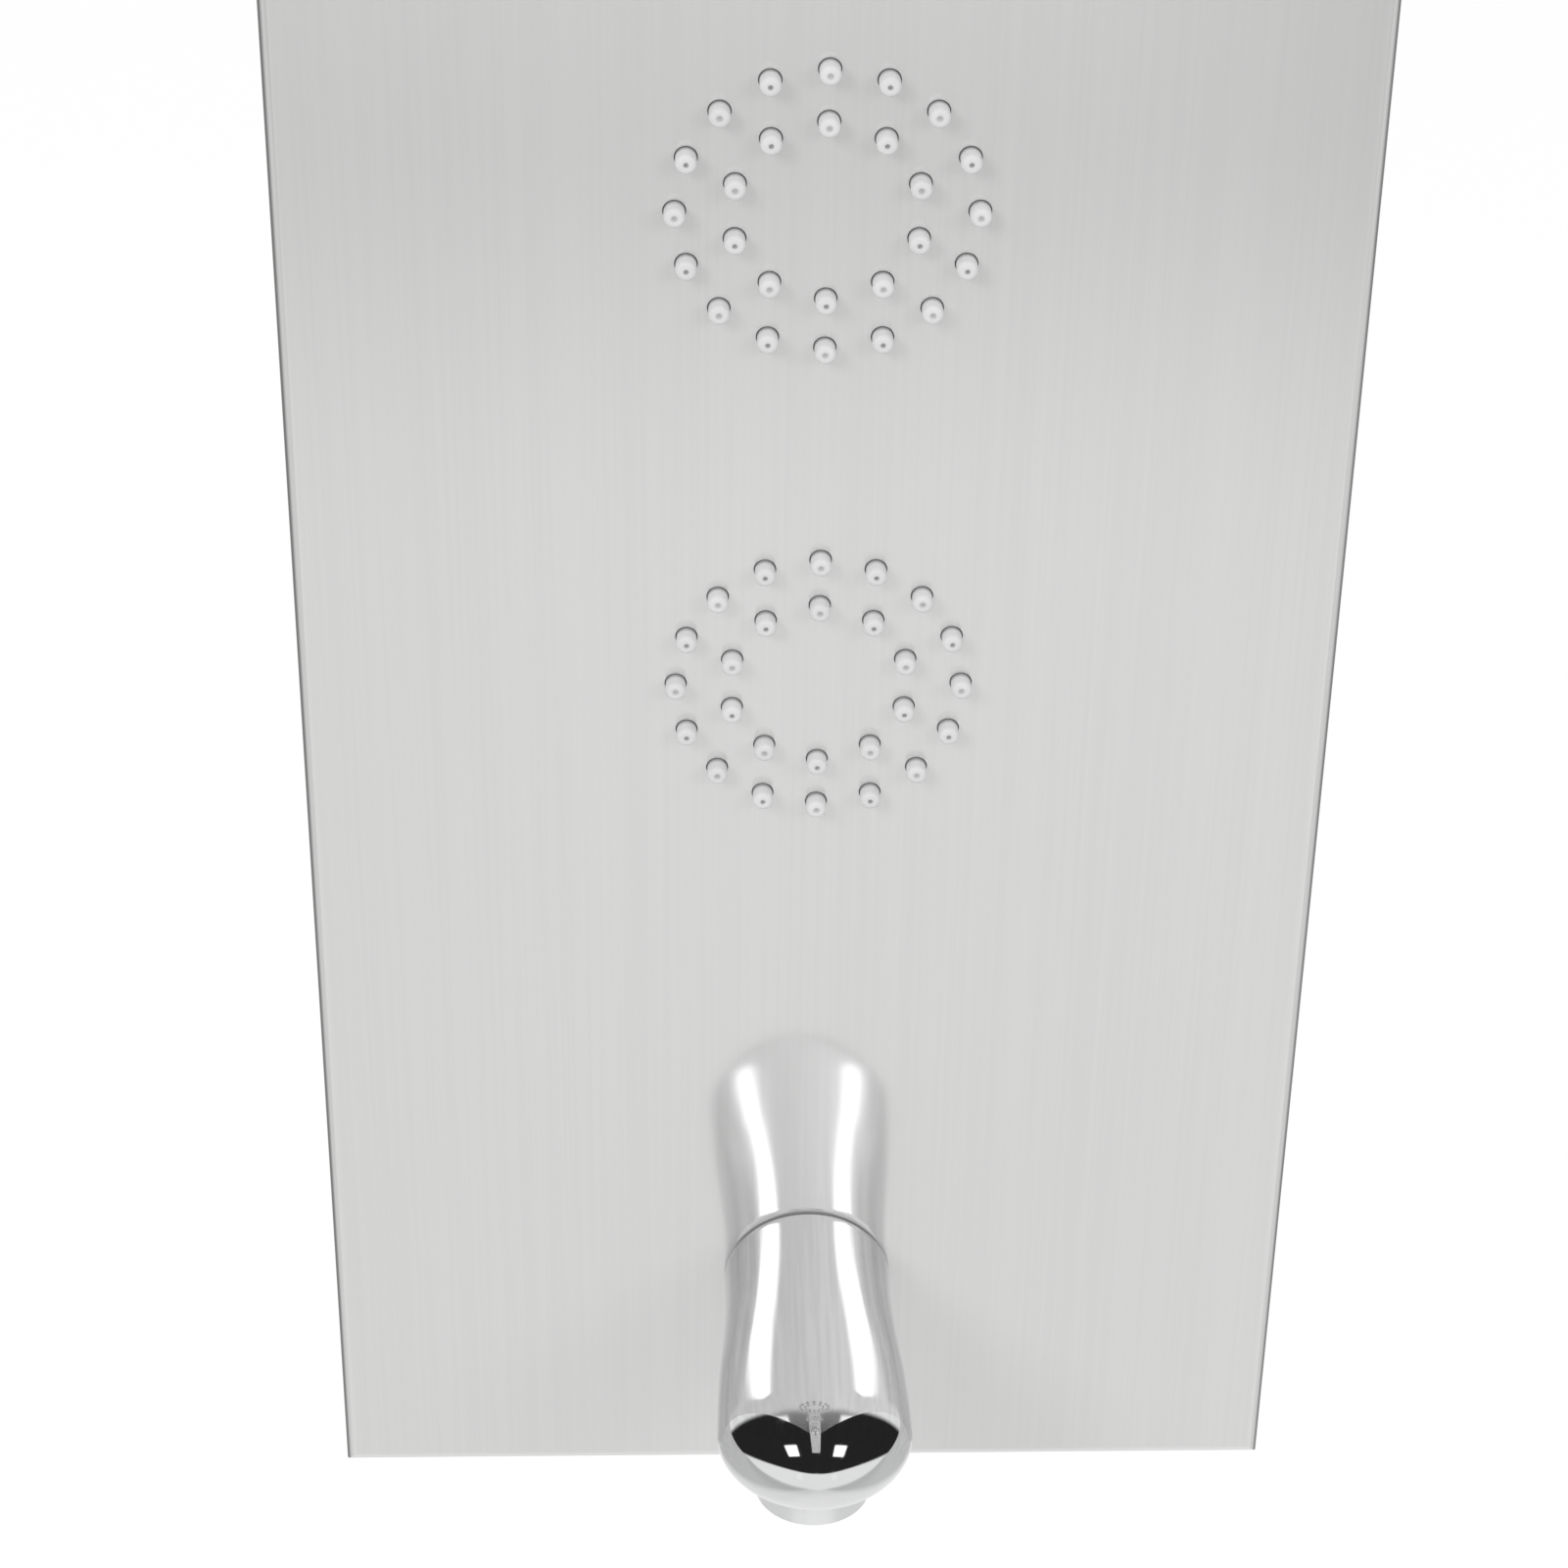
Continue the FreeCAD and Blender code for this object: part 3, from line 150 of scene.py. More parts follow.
def srgb(level, warmth=0.0):
    """A colour from a grey level of 0 to 255 as a screen shows it, a little warm or cool."""
    tone = [level * (1 + warmth) / 255, level / 255, level * (1 - warmth) / 255]
    linear = [t / 12.92 if t <= 0.04045 else ((t + 0.055) / 1.055) ** 2.4 for t in tone]
    return (*linear, 1.0)


# --- Shared surface effects -----------------------------------------------------------------------
FLOAT = "NodeSocketFloat"
VECTOR = "NodeSocketVector"
# The part of a noise's values that is spread over a whole range; the tight one gives more contrast.
TIGHT = (0.35, 0.65)
LOOSE = (0.3, 0.7)
SMEAR_SPAN = (0.42, 0.72)
SCRATCH_WIDTH = 0.012
# The scale of a cast surface's mottling as a share of its skin's.
MOTTLE_SCALE = 0.12


def grain_group():
    """Brushed grain: streaks that run along one axis of the stretched coordinates."""
    g, start, end = new_group(
        "brushed_grain",
        [("Vector", VECTOR, None), ("Fine Scale", FLOAT, 1500.0), ("Broad Scale", FLOAT, 260.0)],
        [("Streaks", FLOAT), ("Broad", FLOAT), ("Height", FLOAT)],
    )
    place = start.outputs["Vector"]
    fine = g.noise(place, start.outputs["Fine Scale"], detail=3.0, roughness=0.6)
    broad = g.noise(place, start.outputs["Broad Scale"], detail=2.0, roughness=0.5)
    g.tree.links.new(fine, end.inputs["Streaks"])
    g.tree.links.new(broad, end.inputs["Broad"])
    g.tree.links.new(g.weigh(fine, 0.7, broad, 0.3), end.inputs["Height"])
    return g.tree


def marks_group():
    """Handling marks: soft smears and a few fine hairline scratches on polished metal."""
    g, start, end = new_group(
        "handling_marks",
        [("Vector", VECTOR, None), ("Smear Scale", FLOAT, 30.0), ("Scratch Scale", FLOAT, 120.0)],
        [("Smear", FLOAT), ("Scratch", FLOAT)],
    )
    place = start.outputs["Vector"]
    cloud = g.noise(place, start.outputs["Smear Scale"], detail=4.0, roughness=0.6)
    smear = g.remap(cloud, *SMEAR_SPAN, 0.0, 1.0)
    ridge = g.noise(place, start.outputs["Scratch Scale"], detail=1.0, roughness=0.4)
    near = g.math("ABSOLUTE", g.math("SUBTRACT", ridge, 0.5))
    scratch = g.remap(near, 0.0, SCRATCH_WIDTH, 1.0, 0.0)
    g.tree.links.new(smear, end.inputs["Smear"])
    g.tree.links.new(scratch, end.inputs["Scratch"])
    return g.tree


def cast_group():
    """The soft unevenness of a cast, moulded or lapped surface."""
    g, start, end = new_group(
        "cast_surface",
        [("Vector", VECTOR, None), ("Scale", FLOAT, 400.0)],
        [("Mottle", FLOAT), ("Height", FLOAT)],
    )
    place = start.outputs["Vector"]
    broad = g.times(start.outputs["Scale"], MOTTLE_SCALE)
    mottle = g.noise(place, broad, detail=3.0, roughness=0.55)
    height = g.noise(place, start.outputs["Scale"], detail=2.0, roughness=0.6)
    g.tree.links.new(mottle, end.inputs["Mottle"])
    g.tree.links.new(height, end.inputs["Height"])
    return g.tree


GRAIN = grain_group()
MARKS = marks_group()
CAST = cast_group()


# --- Finishes -------------------------------------------------------------------------------------
# How warm or cool the greys of bare steel and of plating are.
STEEL_TINT = 0.002
PLATING_TINT = -0.002
# How much a grain's coordinates shrink along its lines, on brushed sheet and on polished plating.
BRUSHED_STRETCH = 0.006
POLISHED_STRETCH = 0.02
# A fold: a pale band of painted highlight and a dark line of painted shade on the edge, each from its
# inner to its outer distance from the casing's side, with the dark line's grey level, and how far
# behind the face they run out.
FOLD_HIGHLIGHT_BAND = (2.6 * MM, 1.4 * MM)
FOLD_SHADE_LINE = (1.1 * MM, 0.3 * MM)
FOLD_SHADE_LEVEL = 120
FOLD_DEPTH = (1.2 * MM, 2.4 * MM)
# Tones as shares of the metal's own level: a fold's painted highlight band, a smear and a polishing
# line.
FOLD_HIGHLIGHT_TONE = 1.03
SMEAR_TONE = 0.975
LINE_TONE = 0.94
# The roughness that a smear and a scratch add.
SMEAR_ROUGHNESS = 0.03
SCRATCH_ROUGHNESS = 0.05
# Depths of relief: brushed grain, polishing lines, moulded skin, cast skin, thread and braid.
GRAIN_RELIEF = 0.002 * MM
LINE_RELIEF = 0.006 * MM
MOULD_RELIEF = 0.02 * MM
CAST_RELIEF = 0.04 * MM
THREAD_RELIEF = 1.1 * MM
BRAID_RELIEF = 0.3 * MM
# How much of the cast skin stays beside a thread.
SKIN_BY_THREAD = 0.04
# The turn of a surface towards its polishing lines over which they fade out.
LINE_FADE = (0.3, 0.75)
# How deep light goes into silicone.
SKIN_DEPTH = 0.6 * MM


def new_material(name, stretch=(1, 1, 1)):
    """A material with a Principled shader and Object coordinates through a Mapping node."""
    material = bpy.data.materials.new(name)
    material.use_nodes = True
    g = Graph(material.node_tree)
    shader = material.node_tree.nodes["Principled BSDF"]
    place = g.add("ShaderNodeTexCoord").outputs["Object"]
    mapping = g.add("ShaderNodeMapping", Vector=place, Scale=stretch)
    return material, g, shader, mapping.outputs["Vector"]


def add_group(g, tree, **inputs):
    """Adds a shared effect with its inputs set and gives its outputs."""
    node = g.tree.nodes.new("ShaderNodeGroup")
    node.node_tree = tree
    for name, value in inputs.items():
        g.feed(node, name.replace("_", " "), value)
    return node.outputs


def bump(g, shader, height, distance, strength=1.0):
    """Relief in a shader's surface, as deep as distance where the height goes from 0 to 1."""
    node = g.add("ShaderNodeBump", Strength=strength, Distance=distance, Height=height)
    g.tree.links.new(node.outputs["Normal"], shader.inputs["Normal"])


def fold_mask(g, edges, inner, outer):
    """1 along the folds, where their painted highlight and shade go: edges are half width and half
    height of the face they surround.
    """
    x, y, z = g.object_place()
    masks = []
    for value, half in ((x, edges[0]), (z, edges[1])):
        masks.append(g.remap(g.math("ABSOLUTE", value), half - inner, half - outer, 0.0, 1.0))
    front = g.remap(y, face_y + FOLD_DEPTH[0], face_y + FOLD_DEPTH[1], 1.0, 0.0)
    return g.times(front, g.math("MAXIMUM", *masks))


def brushed_steel(
    name, level, along, roughness, streak_depth=0.007, anisotropy=0.4, satin=0.6, edges=None
):
    """Sheet steel brushed along one axis, with painted light at its folds; edges are the half width and
    half height to them.
    """
    stretch = [1.0, 1.0, 1.0]
    stretch[along] = BRUSHED_STRETCH
    material, g, shader, place = new_material(name, tuple(stretch))
    grain = add_group(g, GRAIN, Vector=place, Fine_Scale=1300.0, Broad_Scale=170.0)
    dark = srgb(level * (1 - streak_depth), STEEL_TINT)
    light = srgb(level * (1 + streak_depth), STEEL_TINT)
    tone = g.weigh(grain["Streaks"], 0.65, grain["Broad"], 0.35)
    colour = g.blend(g.remap(tone, *TIGHT, 0.0, 1.0), dark, light)
    # Painted light on the folds: a pale highlight band, and a dark shade line right on the edge.
    if edges:
        colour = g.blend(fold_mask(g, edges, *FOLD_HIGHLIGHT_BAND), colour, srgb(level * FOLD_HIGHLIGHT_TONE, STEEL_TINT))
        colour = g.blend(fold_mask(g, edges, *FOLD_SHADE_LINE), colour, srgb(FOLD_SHADE_LEVEL, STEEL_TINT))
    g.tree.links.new(colour, shader.inputs["Base Color"])
    shader.inputs["Metallic"].default_value = satin
    shader.inputs["Anisotropic"].default_value = anisotropy
    rough = g.remap(grain["Streaks"], *LOOSE, roughness * 0.95, roughness * 1.06)
    g.tree.links.new(rough, shader.inputs["Roughness"])
    bump(g, shader, grain["Height"], GRAIN_RELIEF, strength=0.2)
    return material


def chrome(name, level, roughness=0.035, metallic=1.0, lines=None):
    """Polished plating with faint smears and hairlines; lines is the axis its polishing runs along."""
    material, g, shader, place = new_material(name)
    marks = add_group(g, MARKS, Vector=place)
    own, smeared = (srgb(level * tone, PLATING_TINT) for tone in (1.0, SMEAR_TONE))
    colour = g.blend(marks["Smear"], own, smeared)
    if lines is not None:
        stretch = [1.0, 1.0, 1.0]
        stretch[lines] = POLISHED_STRETCH
        along = g.add("ShaderNodeMapping", Vector=place, Scale=stretch).outputs[0]
        grain = add_group(g, GRAIN, Vector=along, Fine_Scale=900.0, Broad_Scale=300.0)
        # The lines run out where the surface turns to face along them.
        normal = g.add("ShaderNodeSeparateXYZ", Vector=g.add("ShaderNodeNewGeometry").outputs["Normal"])
        fade = g.remap(g.math("ABSOLUTE", normal.outputs[lines]), *LINE_FADE, 1.0, 0.0)
        streaks = g.times(g.remap(grain["Streaks"], *TIGHT, 0.0, 0.8), fade)
        colour = g.blend(streaks, colour, srgb(level * LINE_TONE, PLATING_TINT))
        bump(g, shader, g.times(grain["Height"], fade), LINE_RELIEF, strength=0.25)
    g.tree.links.new(colour, shader.inputs["Base Color"])
    shader.inputs["Metallic"].default_value = metallic
    worn = g.weigh(marks["Smear"], SMEAR_ROUGHNESS, marks["Scratch"], SCRATCH_ROUGHNESS)
    g.tree.links.new(g.math("ADD", worn, roughness), shader.inputs["Roughness"])
    return material


def thread_height(g, centres, top, pitch):
    """A thread's ridge on pipes that hang down: their middles in X, shared Y, and upper end."""
    x, y, z = g.object_place()
    nearest = g.times(g.math("SIGN", x), centres[0])
    angle = g.math("ARCTAN2", g.math("SUBTRACT", y, centres[1]), g.math("SUBTRACT", x, nearest))
    turns = g.math("ADD", g.math("DIVIDE", z, pitch), g.math("DIVIDE", angle, 2 * math.pi))
    ridge = g.math("PINGPONG", turns, 0.5)
    return g.times(ridge, 2.0, g.remap(z, top - pitch, top, 1.0, 0.0))


def plain_metal(name, colour, shade, roughness, scale=400.0, thread=None):
    """Cast, rolled or turned metal with a mottled tone, and a thread where one is given."""
    material, g, shader, place = new_material(name)
    cast = add_group(g, CAST, Vector=place, Scale=scale)
    mix = g.blend(g.remap(cast["Mottle"], *TIGHT, 0.0, 1.0), shade, colour)
    g.tree.links.new(mix, shader.inputs["Base Color"])
    shader.inputs["Metallic"].default_value = 1.0
    rough = g.remap(cast["Mottle"], *LOOSE, roughness * 1.2, roughness * 0.8)
    g.tree.links.new(rough, shader.inputs["Roughness"])
    if thread:
        skin = g.times(cast["Height"], SKIN_BY_THREAD)
        bump(g, shader, g.math("ADD", skin, thread_height(g, *thread)), THREAD_RELIEF)
    else:
        bump(g, shader, cast["Height"], CAST_RELIEF, strength=0.3)
    return material


def moulded(name, colour, shade, roughness, scale=900.0):
    """Moulded plastic or rubber, or ceramic."""
    material, g, shader, place = new_material(name)
    cast = add_group(g, CAST, Vector=place, Scale=scale)
    mix = g.blend(g.remap(cast["Mottle"], *LOOSE, 0.0, 1.0), shade, colour)
    g.tree.links.new(mix, shader.inputs["Base Color"])
    rough = g.remap(cast["Mottle"], *LOOSE, roughness * 0.9, roughness * 1.1)
    g.tree.links.new(rough, shader.inputs["Roughness"])
    bump(g, shader, cast["Height"], MOULD_RELIEF, strength=0.3)
    return material


# Grey levels of the silicone: its own two, then the painted shade at the foot of a nozzle and inside its
# mouth.
SILICONE_SHADE = 226
SILICONE_LIGHT = 232
FOOT_SHADE_LEVEL = 128
MOUTH_SHADE_LEVEL = 70
# The foot's painted shade runs out from the sheet to this share of the nozzle, from this strength.
FOOT_SHADE = (0.0, 0.4, 0.75, 0.0)


def silicone(name):
    """Nozzle silicone, with painted shade where it leaves the sheet and inside the mouths."""
    material, g, shader, place = new_material(name)
    cast = add_group(g, CAST, Vector=place, Scale=1200.0)
    mottle = g.remap(cast["Mottle"], *LOOSE, 0.0, 1.0)
    mix = g.blend(mottle, srgb(SILICONE_SHADE), srgb(SILICONE_LIGHT))
    reach = g.add("ShaderNodeAttribute", {"attribute_name": "reach"}).outputs["Fac"]
    mouth = g.add("ShaderNodeAttribute", {"attribute_name": "mouth"}).outputs["Fac"]
    # Painted shade at the foot, darkest where the nozzle leaves the sheet.
    mix = g.blend(g.remap(reach, *FOOT_SHADE), mix, srgb(FOOT_SHADE_LEVEL))
    # Painted shade inside the mouth, darker further in.
    mix = g.blend(mouth, mix, srgb(MOUTH_SHADE_LEVEL))
    g.tree.links.new(mix, shader.inputs["Base Color"])
    shader.inputs["Specular IOR Level"].default_value = 0.4
    shader.inputs["Subsurface Weight"].default_value = 0.1
    shader.inputs["Subsurface Radius"].default_value = (SKIN_DEPTH, SKIN_DEPTH, SKIN_DEPTH)
    shader.inputs["Subsurface Scale"].default_value = 1.0
    g.tree.links.new(g.remap(cast["Mottle"], *LOOSE, 0.42, 0.5), shader.inputs["Roughness"])
    bump(g, shader, cast["Height"], MOULD_RELIEF, strength=0.3)
    return material


BRAID_PITCH = 3.4 * MM
# Where a strand's edge lies between two crossings, and the grey levels of the gaps and the strands.
BRAID_EDGE = (0.12, 0.42)
BRAID_GAP = 96
BRAID_STRAND = 205
# How much Y counts beside X in the way round a hose.
ROUND_SHARE = 0.6


def braided(name):
    """A steel braid: two sets of flat strands that cross."""
    material, g, shader, place = new_material(name)
    x, y, z = g.add("ShaderNodeSeparateXYZ", Vector=place).outputs
    round_hose = g.math("ADD", x, g.times(y, ROUND_SHARE))
    strands = []
    for way in ("ADD", "SUBTRACT"):
        turns = g.math("DIVIDE", g.math(way, round_hose, z), BRAID_PITCH)
        strands.append(g.math("PINGPONG", turns, 0.5))
    weave = g.remap(g.math("MAXIMUM", *strands), *BRAID_EDGE, 0.0, 1.0)
    colour = g.blend(weave, srgb(BRAID_GAP), srgb(BRAID_STRAND))
    g.tree.links.new(colour, shader.inputs["Base Color"])
    shader.inputs["Metallic"].default_value = 0.9
    g.tree.links.new(g.remap(weave, 0.0, 1.0, 0.5, 0.28), shader.inputs["Roughness"])
    bump(g, shader, weave, BRAID_RELIEF, strength=0.5)
    return material


BRASS = (0.72, 0.50, 0.20, 1)
DULL_BRASS = (0.58, 0.39, 0.15, 1)
mixer_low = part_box("mixer_body")[0]
# The middles of the inlets in X (either side) and Y, the top of their thread and its pitch.
INLET_THREAD = ((17 * MM, -27 * MM), mixer_low.z + 14 * MM, 1.814 * MM)

FINISHES = {
    "panel_steel": brushed_steel(
        "panel_steel", 231, along=Z_AXIS, roughness=0.1, edges=(panel_high.x, panel_high.z)
    ),
    "hood_steel": brushed_steel("hood_steel", 231, along=Y_AXIS, roughness=0.1),
    "sheet_steel": brushed_steel(
        "sheet_steel", 190, along=X_AXIS, roughness=0.3, streak_depth=0.04, anisotropy=0.3, satin=0.85
    ),
    "screw_steel": plain_metal("screw_steel", srgb(205), srgb(180), roughness=0.2, scale=900.0),
    "chrome": chrome("chrome", 232),
    "spout_chrome": chrome("spout_chrome", 232, lines=Y_AXIS),
    # The aerator ring: a satin copy of the chrome. Its satin roughness is its own finish; its level,
    # raised above the chrome's, is painted light.
    "lit_ring_chrome": chrome("lit_ring_chrome", 248, roughness=0.09, metallic=0.7),
    "brass": plain_metal("brass", BRASS, DULL_BRASS, roughness=0.3),
    "threaded_brass": plain_metal(
        "threaded_brass", BRASS, DULL_BRASS, roughness=0.3, thread=INLET_THREAD
    ),
    "silicone": silicone("silicone"),
    "seal_rubber": moulded("seal_rubber", srgb(84), srgb(70), roughness=0.6),
    "braid": braided("braid"),
    "pale_plastic": moulded(
        "pale_plastic", srgb(226, 0.01), srgb(214, 0.015), roughness=0.42, scale=700.0
    ),
    "dark_plastic": moulded("dark_plastic", srgb(58), srgb(46), roughness=0.45, scale=700.0),
    "ceramic": moulded("ceramic", srgb(240, 0.012), srgb(232, 0.016), roughness=0.12, scale=300.0),
}

NODE_FINISH = {
    "panel_steel": ("panel_casing",),
    "hood_steel": ("head_shell", "head_face"),
    "sheet_steel": ("wall_bracket_lower", "wall_bracket_upper", "head_bracket"),
    "screw_steel": (
        "side_screws", "head_screws", "head_bolts", "head_nuts", "jet_studs", "jet_nuts", "rain_studs",
        "rain_nuts", "handle_screw", "knob_screw", "lever_pin", "tube_clamps",
    ),
    "chrome": (
        "mixer_escutcheon", "mixer_handle", "handle_cap",
        "diverter_escutcheon", "diverter_knob", "knob_cap",
    ),
    "spout_chrome": ("spout_body",),
    "lit_ring_chrome": ("aerator_ring",),
    "brass": (
        "spout_shank", "spout_locknut", "mixer_locknut", "cartridge_nut", "lever_spindle",
        "diverter_body", "diverter_locknut", "diverter_nut", "diverter_rotor",
    ),
    "threaded_brass": ("mixer_body",),
    "silicone": ("jet_mat_lower", "jet_mat_upper", "rain_mat"),
    "seal_rubber": ("spout_gasket", "spout_washer", "aerator_seal", "cartridge_seals"),
    "braid": ("rain_tube", "jet_tube", "jet_link_tube", "spout_tube", "link_tube"),
    "pale_plastic": (
        "jet_chamber_lower", "jet_chamber_upper", "rain_chamber", "aerator_insert", "cartridge_base",
        "cartridge_housing", "diverter_sleeve",
    ),
    "dark_plastic": ("lever_turret",),
    "ceramic": ("fixed_disc", "moving_disc"),
}


def finish_nodes():
    """Gives every CAD node its one finish."""
    for finish, names in NODE_FINISH.items():
        for name in names:
            mesh = nodes[name].data
            mesh.materials.clear()
            mesh.materials.append(FINISHES[finish])


# --- Mesh pieces ----------------------------------------------------------------------------------
def mesh_piece(name, points, faces, finish, body):
    """A smooth piece from points and faces, with its finish, that rides on a body."""
    mesh = bpy.data.meshes.new(name)
    mesh.from_pydata([tuple(p) for p in points], [], [tuple(f) for f in faces])
    mesh.update()
    piece = bpy.data.objects.new(name, mesh)
    bpy.context.scene.collection.objects.link(piece)
    mesh.materials.append(FINISHES[finish])
    for polygon in mesh.polygons:
        polygon.use_smooth = True
    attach(piece, body)
    return piece


# --- Bath spout -----------------------------------------------------------------------------------
# Sizes of the polished body, from the panel's face outwards.
SPOUT_BASE = 17.5 * MM
SPOUT_HALF_WIDTH = 19.7 * MM
SPOUT_HALF_HEIGHT = 13.4 * MM
SPOUT_REACH = 73.4 * MM
NOSE_LENGTH = 19.4 * MM
NOSE_FULLNESS = 1.7
WAIST = 0.28 * MM
# How many times as fast as the body's swelling the waist runs its course.
WAIST_PACE = 1.6
BODY_RISE = 3.35 * MM
TIP_RISE = 7.0 * MM
SEAM_EDGE = 0.35 * MM
SEAM_MIDDLE = 0.3
# Points round the body, and rows of them along its length and again along its nose.
SPOUT_SIDES = 128
SPOUT_ROWS = 40


def spout_section(out):
    """Half width, half height and rise of the body's oval at a distance out of the panel."""
    equator = SPOUT_REACH - NOSE_LENGTH
    if out <= equator:
        share = out / equator
        ease = share * share * (3 - 2 * share)
        waist = WAIST * math.sin(math.pi * min(WAIST_PACE * share, 1))
        width = SPOUT_BASE + (SPOUT_HALF_WIDTH - SPOUT_BASE) * ease - waist
        return width, SPOUT_BASE + (SPOUT_HALF_HEIGHT - SPOUT_BASE) * ease, BODY_RISE * ease
    share = min((out - equator) / NOSE_LENGTH, 1)
    full = (1 - share**NOSE_FULLNESS) ** (1 / NOSE_FULLNESS)
    rise = BODY_RISE + (TIP_RISE - BODY_RISE) * (1 - full)
    return SPOUT_HALF_WIDTH * full, SPOUT_HALF_HEIGHT * full, rise


def make_spout():
    """The polished body as one closed skin, softened where it meets its gasket."""
    around = SPOUT_SIDES
    equator = SPOUT_REACH - NOSE_LENGTH
    start = gasket_high.y - gasket_low.y
    outs = list(np.linspace(start + SEAM_EDGE, equator, SPOUT_ROWS))
    angles = np.linspace(0, math.pi / 2, SPOUT_ROWS)[1:-1]
    outs += [equator + NOSE_LENGTH * math.sin(angle) for angle in angles]
    width, height, rise = spout_section(start)
    edge = SEAM_EDGE * SEAM_MIDDLE
    rows = [
        (start, width - SEAM_EDGE, height - SEAM_EDGE, rise),
        (start + edge, width - edge, height - edge, rise),
    ]
    rows += [(out, *spout_section(out)) for out in outs]
    points = []
    for out, width, height, rise in rows:
        for step in range(around):
            angle = 2 * math.pi * step / around
            z = spout_axis_z + rise + height * math.sin(angle)
            points.append((width * math.cos(angle), face_y - out, z))
    faces = []
    for row in range(len(rows) - 1):
        for step in range(around):
            following = (step + 1) % around
            low = row * around
            high = low + around
            faces.append((low + step, low + following, high + following, high + step))
    points.append((0, face_y - SPOUT_REACH, spout_axis_z + TIP_RISE))
    points.append((0, face_y - start, spout_axis_z))
    last = (len(rows) - 1) * around
    for step in range(around):
        following = (step + 1) % around
        faces.append((last + step, last + following, len(points) - 2))
        faces.append((following, step, len(points) - 1))
    piece = mesh_piece("spout_shell", points, faces, "spout_chrome", "column")
    return piece


# --- Spray mats -----------------------------------------------------------------------------------
# Sizes of a nozzle and of its mat, measured from the outer face of the sheet.
NOZZLE_RADIUS = 1.95 * MM
NOZZLE_REACH = 3.6 * MM
SHEET = 1.2 * MM
MAT_THICKNESS = 2.0 * MM
MAT_MARGIN = 5.0 * MM
# How many nozzles on which circle: the outer ring, then the inner one.
JET_RINGS = (16, 55.0 * MM, 10, 35.0 * MM)
RAIN_RINGS = (16, 100.0 * MM, 8, 55.0 * MM)
# Rows of a nozzle's turned outline: radius and height as shares, then how far into the mouth, which sets
# the mouth's painted shade.
WIDE_MOUTH = (
    (0.0, -0.55, 0), (1.0, -0.55, 0), (1.0, 0.0, 0), (1.0, 0.4, 0), (0.995, 0.78, 0), (0.95, 0.88, 0),
    (0.84, 0.95, 0), (0.66, 0.99, 0), (0.42, 1.0, 0), (0.31, 0.985, 0.12), (0.24, 0.95, 0.3),
    (0.16, 0.93, 0.38), (0.0, 0.92, 0.4),
)
NARROW_MOUTH = (
    (0.0, -0.55, 0), (1.0, -0.55, 0), (1.0, 0.0, 0), (1.0, 0.4, 0), (0.995, 0.78, 0), (0.95, 0.88, 0),
    (0.84, 0.95, 0), (0.66, 0.99, 0), (0.36, 1.0, 0), (0.22, 0.98, 0.25), (0.2, 0.94, 0.4),
    (0.19, 0.88, 0.45), (0.0, 0.88, 0.45),
)
NOZZLE_SIDES = 28
MAT_SIDES = 96
WELD_DISTANCE = 0.005 * MM
SHARP_ANGLE = math.radians(35)


def geometry_group(name, inputs):
    """A geometry tree with named inputs and one geometry output."""
    tree = bpy.data.node_groups.new(name, "GeometryNodeTree")
    for label, kind, value in inputs:
        socket = tree.interface.new_socket(label, in_out="INPUT", socket_type=kind)
        if value is not None:
            socket.default_value = value
    tree.interface.new_socket("Geometry", in_out="OUTPUT", socket_type="NodeSocketGeometry")
    return Graph(tree), tree.nodes.new("NodeGroupInput").outputs, tree.nodes.new("NodeGroupOutput")


def outline_curve(g, share, values, low, high):
    """A Float Curve through one value for each row of an outline."""
    node = g.add("ShaderNodeFloatCurve", Value=share)
    node.mapping.extend = "HORIZONTAL"
    curve = node.mapping.curves[0]
    last = len(values) - 1
    for index, value in enumerate(values):
        place = (index / last, (value - low) / (high - low))
        if index in (0, last):
            point = curve.points[0 if index == 0 else -1]
            point.location = place
        else:
            point = curve.points.new(*place)
    for point in curve.points:
        point.handle_type = "VECTOR"
    node.mapping.update()
    return g.remap(node.outputs[0], 0.0, 1.0, low, high, smooth=False)


def turned_nozzle(g, rows, radius, reach):
    """One nozzle turned round Z from its outline, with the attributes its finish reads to paint shade at
    its foot and in its mouth.
    """
    grid = g.add(
        "GeometryNodeMeshGrid", Size_X=1.0, Size_Y=1.0,
        Vertices_X=NOZZLE_SIDES + 1, Vertices_Y=len(rows),
    )
    split = g.add("ShaderNodeSeparateXYZ", Vector=g.add("GeometryNodeInputPosition").outputs[0])
    round_share = g.math("ADD", split.outputs[0], 0.5)
    row_share = g.math("ADD", split.outputs[1], 0.5)
    angle = g.times(round_share, 2 * math.pi)
    wide = g.times(outline_curve(g, row_share, [row[0] for row in rows], 0.0, 1.0), radius)
    share = outline_curve(g, row_share, [row[1] for row in rows], -1.0, 1.0)
    mouth = outline_curve(g, row_share, [row[2] for row in rows], 0.0, 1.0)
    place = g.add("ShaderNodeCombineXYZ")
    g.feed(place, "X", g.times(wide, g.math("COSINE", angle)))
    g.feed(place, "Y", g.times(wide, g.math("SINE", angle)))
    g.feed(place, "Z", g.times(share, reach))
    mesh = grid.outputs["Mesh"]
    kept = {"data_type": "FLOAT", "domain": "POINT"}
    for label, value in (("reach", share), ("mouth", mouth)):
        store = g.add("GeometryNodeStoreNamedAttribute", kept, Name=label)
        g.feed(store, "Geometry", mesh)
        g.feed(store, "Value", value)
        mesh = store.outputs[0]
    bent = g.add("GeometryNodeSetPosition", Geometry=mesh, Position=place.outputs[0])
    weld = g.add("GeometryNodeMergeByDistance", Geometry=bent.outputs[0], Distance=WELD_DISTANCE)
    return weld.outputs[0]


